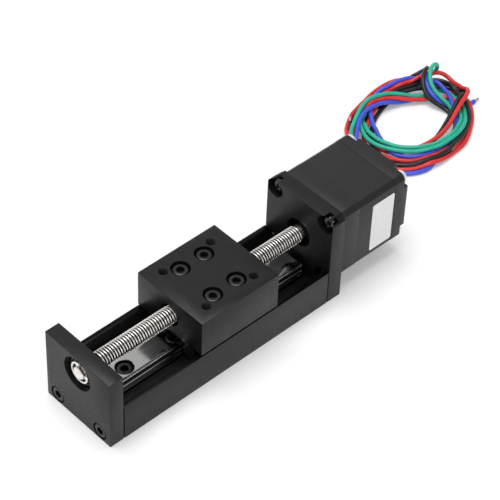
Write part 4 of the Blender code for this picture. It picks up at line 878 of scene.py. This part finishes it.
RED_ROUTE = [
    (150, .9, 2.6), (135, .8, 3.2), (120, .7, 3.8), (110, .65, 4.2), (100, .55, 4.4), (90, .4, 4.4), (81, .15, 4.2),
    (73, -.05, 4), (59, -.3, 3.6), (43, -.4, 3), (33, -.3, 2.4), (22, -.05, 1.8), (8, .15, 1.2), (-8, .3, 1.2),
    (-25, .45, 1.2), (-45, .65, 1.2), (-65, .8, 1.5), (-85, .95, 1.8), (-100, .9, 2.2), (-112, .85, 2.4),
    (-125, .8, 2.4), (-135, .7, 2.4), (-145, .6, 2.4), (-155, .55, 2.4), (-175, .6, 2.2), (-195, .8, 1.8),
    (-213, 1, 1.5), (-231, 1.1, 1.5), (-246, 1.2, 1.5), (-260, 1.25, 1.5), (-272, 1.3, 1.5), (-284, 1.3, 1.5),
    (-298, 1.35, 1.5), (-310, 1.3, 1.2), (-322, 1.15, .9), (-335, 1, .9), (-350, .9, .9), (-370, .85, .9),
    (-385, .9, 1.2), (-400, .95, 1.5), (-415, 1, 1.5), (-430, 1.05, 1.5), (-445, 1.1, 1.5), (-457, 1.1, 1.5),
    (-465, 1.05, 1.5), (-478, 1.2, 1.5), (-486, 1.2, 1.5), (-495, 1.15, 1.5), (-505, 1, 1.4), (-520, .8, 1.2),
    (-540, .6, 1), (-565, .4, 1), (-588, .3, 1.6), (-605, .3, 2.2), (-620, .4, 2.4), (-635, .6, 2.6), (-650, .8, 2.8),
    (-665, .9, 3), (-678, .9, 3.6), (-687, .95, 5), (-693, 1.15, 6), (-697, 1.35, 5.6), (-699, 1.42, 4.2),
    (-703, 1.33, 3), (-710, 1.12, 2.6), (-720, .9, 2.6), (-730, .78, 2.6), (-738, .88, 2.8), (-744, 1.15, 4.2),
    (-743, 1.25, 5.8), (-741, 1.1, 7), (-743, .85, 7.4), (-748, .6, 6.8), (-757, .35, 6), (-768, .1, 5.2),
    (-782, 0, 4.7), (-797, -.05, 4.6), (-819, -.05, 4.2), (-840, -.05, 3.4), (-860, 0, 2.4), (-880, .1, 1.6),
    (-900, .15, .9), (-925, .2, .9)]
BLACK_ROUTE = [
    (150, 1, 1.4), (135, 1.05, 1.2), (120, 1.05, 1.2), (108, 1, 1.4), (98, .9, 1.8), (88, .75, 2.4), (78, .6, 2.6),
    (63, .6, 2.6), (48, .65, 2.6), (37, .8, 2.6), (24, 1, 3), (11, .9, 3), (-4, .75, 3), (-16, .7, 3), (-28, .65, 3),
    (-42, .7, 3), (-53, .75, 2.8), (-66, .8, 2.6), (-80, .9, 2.4), (-98, .95, 2.4), (-108, .95, 2.4), (-117, .95, 2.4),
    (-126, .95, 2.4), (-135, .95, 2.4), (-145, .85, 2.2), (-165, .65, 1.6), (-185, .4, 1.2), (-205, .15, 1.2),
    (-225, 0, 1.2), (-243, -.05, 1.2), (-260, -.05, 1.2), (-278, .05, 1.6), (-292, .25, 2.2), (-305, .35, 2.6),
    (-325, .4, 2.6), (-340, .6, 1.8), (-353, .8, 1), (-366, .95, .9), (-376, 1.05, 1.2), (-383, 1.2, 2.6),
    (-385, 1.25, 4.8), (-383, 1.1, 6.8), (-384, .7, 7.4), (-390, .35, 6.6), (-399, .05, 5.2), (-410, -.15, 3.8),
    (-427, -.35, 3.2), (-440, -.35, 2.8), (-460, -.25, 2), (-480, -.15, 1.2), (-510, -.15, .9), (-540, -.1, .9),
    (-565, .05, .9), (-590, .3, .9), (-620, .55, .9), (-645, .8, .9), (-665, 1, .9), (-677, 1.2, 1.1),
    (-685, 1.42, 2.4), (-689, 1.55, 4.5), (-689, 1.45, 6.9), (-686, 1.1, 8.2), (-685, .65, 8.1), (-688, .2, 6.8),
    (-699, -.2, 4.6), (-714, -.32, 3.2), (-728, -.15, 2.2), (-741, .1, 1.6), (-760, .3, .9), (-785, .45, .9),
    (-810, .55, .9), (-840, .55, .9), (-870, .55, .9), (-900, .6, 1), (-922, .7, 1.8), (-940, .85, 2.4),
    (-951, .95, 2.8), (-958, 1.05, 2.9)]


def lead_path(index, controls):
    """A lead's whole centreline at an even spacing, its kinks smoothed out."""
    points = exit_points(index) + coil_points(controls)
    return relaxed(even_points(relaxed(even_points(points, 1.2 * MM), 3), 0.9 * MM), 4)


def build_lead(colour, path, nodes):
    """One lead, from the grommet round the coil to its stripped end."""
    curve = bpy.data.curves.new("wire_" + colour, "CURVE")
    curve.dimensions = "3D"
    curve.bevel_depth, curve.bevel_resolution, curve.use_fill_caps = LEAD_RADIUS, 4, True
    spline = curve.splines.new("POLY")
    spline.points.add(len(path) - 1)
    for point, place in zip(spline.points, path):
        point.co = (*place, 1)
    curve.materials.append(INSULATION[colour])
    wire = placed("wire_" + colour, curve)
    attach(wire, "stage")
    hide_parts(*nodes)
    strand = 0.42 * MM
    tip = turned([(0, 2.4 * MM), (strand * 0.8, 2.3 * MM), (strand, 2.1 * MM), (strand, -0.6 * MM), (0, -0.6 * MM)], 16)
    tip.transform(pointing(path[-1] - path[-3], path[-1]))
    end = add("stripped_end_" + colour, tip, "stage", TINNED)


def build_leads():
    rows = (("blue", BLUE_ROUTE, ["lead_blue"]), ("green", GREEN_ROUTE, ["lead_green"]),
            ("red", RED_ROUTE, ["lead_red", "lead_coil"]), ("black", BLACK_ROUTE, ["lead_black"]))
    paths = settled([lead_path(index, controls) for index, (_, controls, _) in enumerate(rows)])
    for (colour, _, nodes), path in zip(rows, paths):
        build_lead(colour, path, nodes)


# Floor, light and camera

FLOOR_HALF, FLOOR_LEVEL, FLOOR_COLOUR = 2.5, -0.00005, (0.8, 0.8, 0.8, 1)
CAMERA_GLOW, GLOSS_GLOW = 0.22, 0.08    # the floor's own light to the camera and in gloss
SKY_BRIGHTEST = (-0.88, -0.15, 0.44)    # towards the brightest side of the sky
SKY_FROM, SKY_TO, SKY_DIM, SKY_BRIGHT = -0.9, 0.8, 0.25, 0.8
LIGHT_TARGET = Vector((0, 0.03, 0.01))
CAMERA_PLACE, CAMERA_LENS = Vector((342.27, -319.546, 505.751)) * MM, 154.832
CAMERA_RIGHT = Vector((0.68357704, 0.72919388, 0.03160246))
CAMERA_UP = Vector((-0.52883488, 0.46498065, 0.71001878))
CAMERA_BACK = Vector((0.50304682, -0.50206502, 0.70347325))


def emptied(owner):
    owner.use_nodes = True
    owner.node_tree.nodes.clear()
    return owner.node_tree


def build_floor():
    """A white floor that shows white to the camera and in gloss, and keeps the object's shadow."""
    mesh = bpy.data.meshes.new("floor")
    corners = [(sx * FLOOR_HALF, sy * FLOOR_HALF, FLOOR_LEVEL) for sx, sy in ((-1, -1), (1, -1), (1, 1), (-1, 1))]
    mesh.from_pydata(corners, [], [(0, 1, 2, 3)])
    floor = placed("floor", mesh)
    mat = bpy.data.materials.new("floor_white")
    tree = emptied(mat)

    def maths(operation, first, second):
        return wired(tree, "ShaderNodeMath", {0: first, 1: second}, operation=operation).outputs[0]

    path = tree.nodes.new("ShaderNodeLightPath").outputs
    in_gloss = maths("MAXIMUM", path["Is Glossy Ray"], path["Is Transmission Ray"])
    strength = maths("MAXIMUM", maths("MULTIPLY", in_gloss, GLOSS_GLOW),
                     maths("MULTIPLY", path["Is Camera Ray"], CAMERA_GLOW))
    diffuse = wired(tree, "ShaderNodeBsdfDiffuse", {"Color": FLOOR_COLOUR})
    glow = wired(tree, "ShaderNodeEmission", {"Strength": strength})
    both = wired(tree, "ShaderNodeAddShader", {0: diffuse.outputs[0], 1: glow.outputs[0]})
    wired(tree, "ShaderNodeOutputMaterial", {"Surface": both.outputs[0]})
    mesh.materials.append(mat)


def build_world():
    """Soft light from all round, brightest from the front left, white where the camera sees it."""
    world = bpy.data.worlds.new("studio")
    bpy.context.scene.world = world
    tree = emptied(world)
    place = tree.nodes.new("ShaderNodeTexCoord").outputs["Generated"]
    towards = wired(tree, "ShaderNodeVectorMath", {0: place, 1: SKY_BRIGHTEST}, operation="DOT_PRODUCT")
    level = wired(tree, "ShaderNodeMapRange", {"Value": towards.outputs["Value"], "From Min": SKY_FROM,
                                               "From Max": SKY_TO, "To Min": SKY_DIM, "To Max": SKY_BRIGHT})
    path = tree.nodes.new("ShaderNodeLightPath").outputs
    strength = wired(tree, "ShaderNodeMix", {0: path["Is Camera Ray"], 2: level.outputs[0], 3: 1.0}, data_type="FLOAT")
    background = wired(tree, "ShaderNodeBackground", {"Strength": strength.outputs[0]})
    wired(tree, "ShaderNodeOutputWorld", {"Surface": background.outputs[0]})


def area_light(name, place, size, power):
    lamp = bpy.data.lights.new(name, "AREA")
    lamp.shape, lamp.size, lamp.energy = "DISK", size, power
    obj = placed(name, lamp)
    obj.location = place
    obj.rotation_mode = "QUATERNION"
    obj.rotation_quaternion = (Vector(place) - LIGHT_TARGET).to_track_quat("Z", "Y")


def build_camera():
    """The photograph's viewing angle."""
    camera = bpy.data.cameras.new("camera")
    camera.lens, camera.sensor_width = CAMERA_LENS, 36.0
    camera.clip_start, camera.clip_end = 0.01, 20.0
    obj = placed("camera", camera)
    turn = Matrix((CAMERA_RIGHT, CAMERA_UP, CAMERA_BACK)).transposed()
    obj.matrix_world = Matrix.Translation(CAMERA_PLACE) @ turn.to_4x4()
    bpy.context.scene.camera = obj


build_camera()
build_leads()
build_screws()
build_base()
build_end_plate()
build_motor_plate()
build_rail()
build_carriage()
build_nut()
build_lead_screw()
build_bearing()
build_clip()
build_motor()
build_label()
dress_nodes()
build_floor()
build_world()
area_light("key", (-0.15, -0.1, 1.4), 1.0, 13.0)
area_light("fill", (1.3, -0.3, 0.55), 0.9, 5.0)
bpy.context.scene.view_settings.view_transform = "Standard"
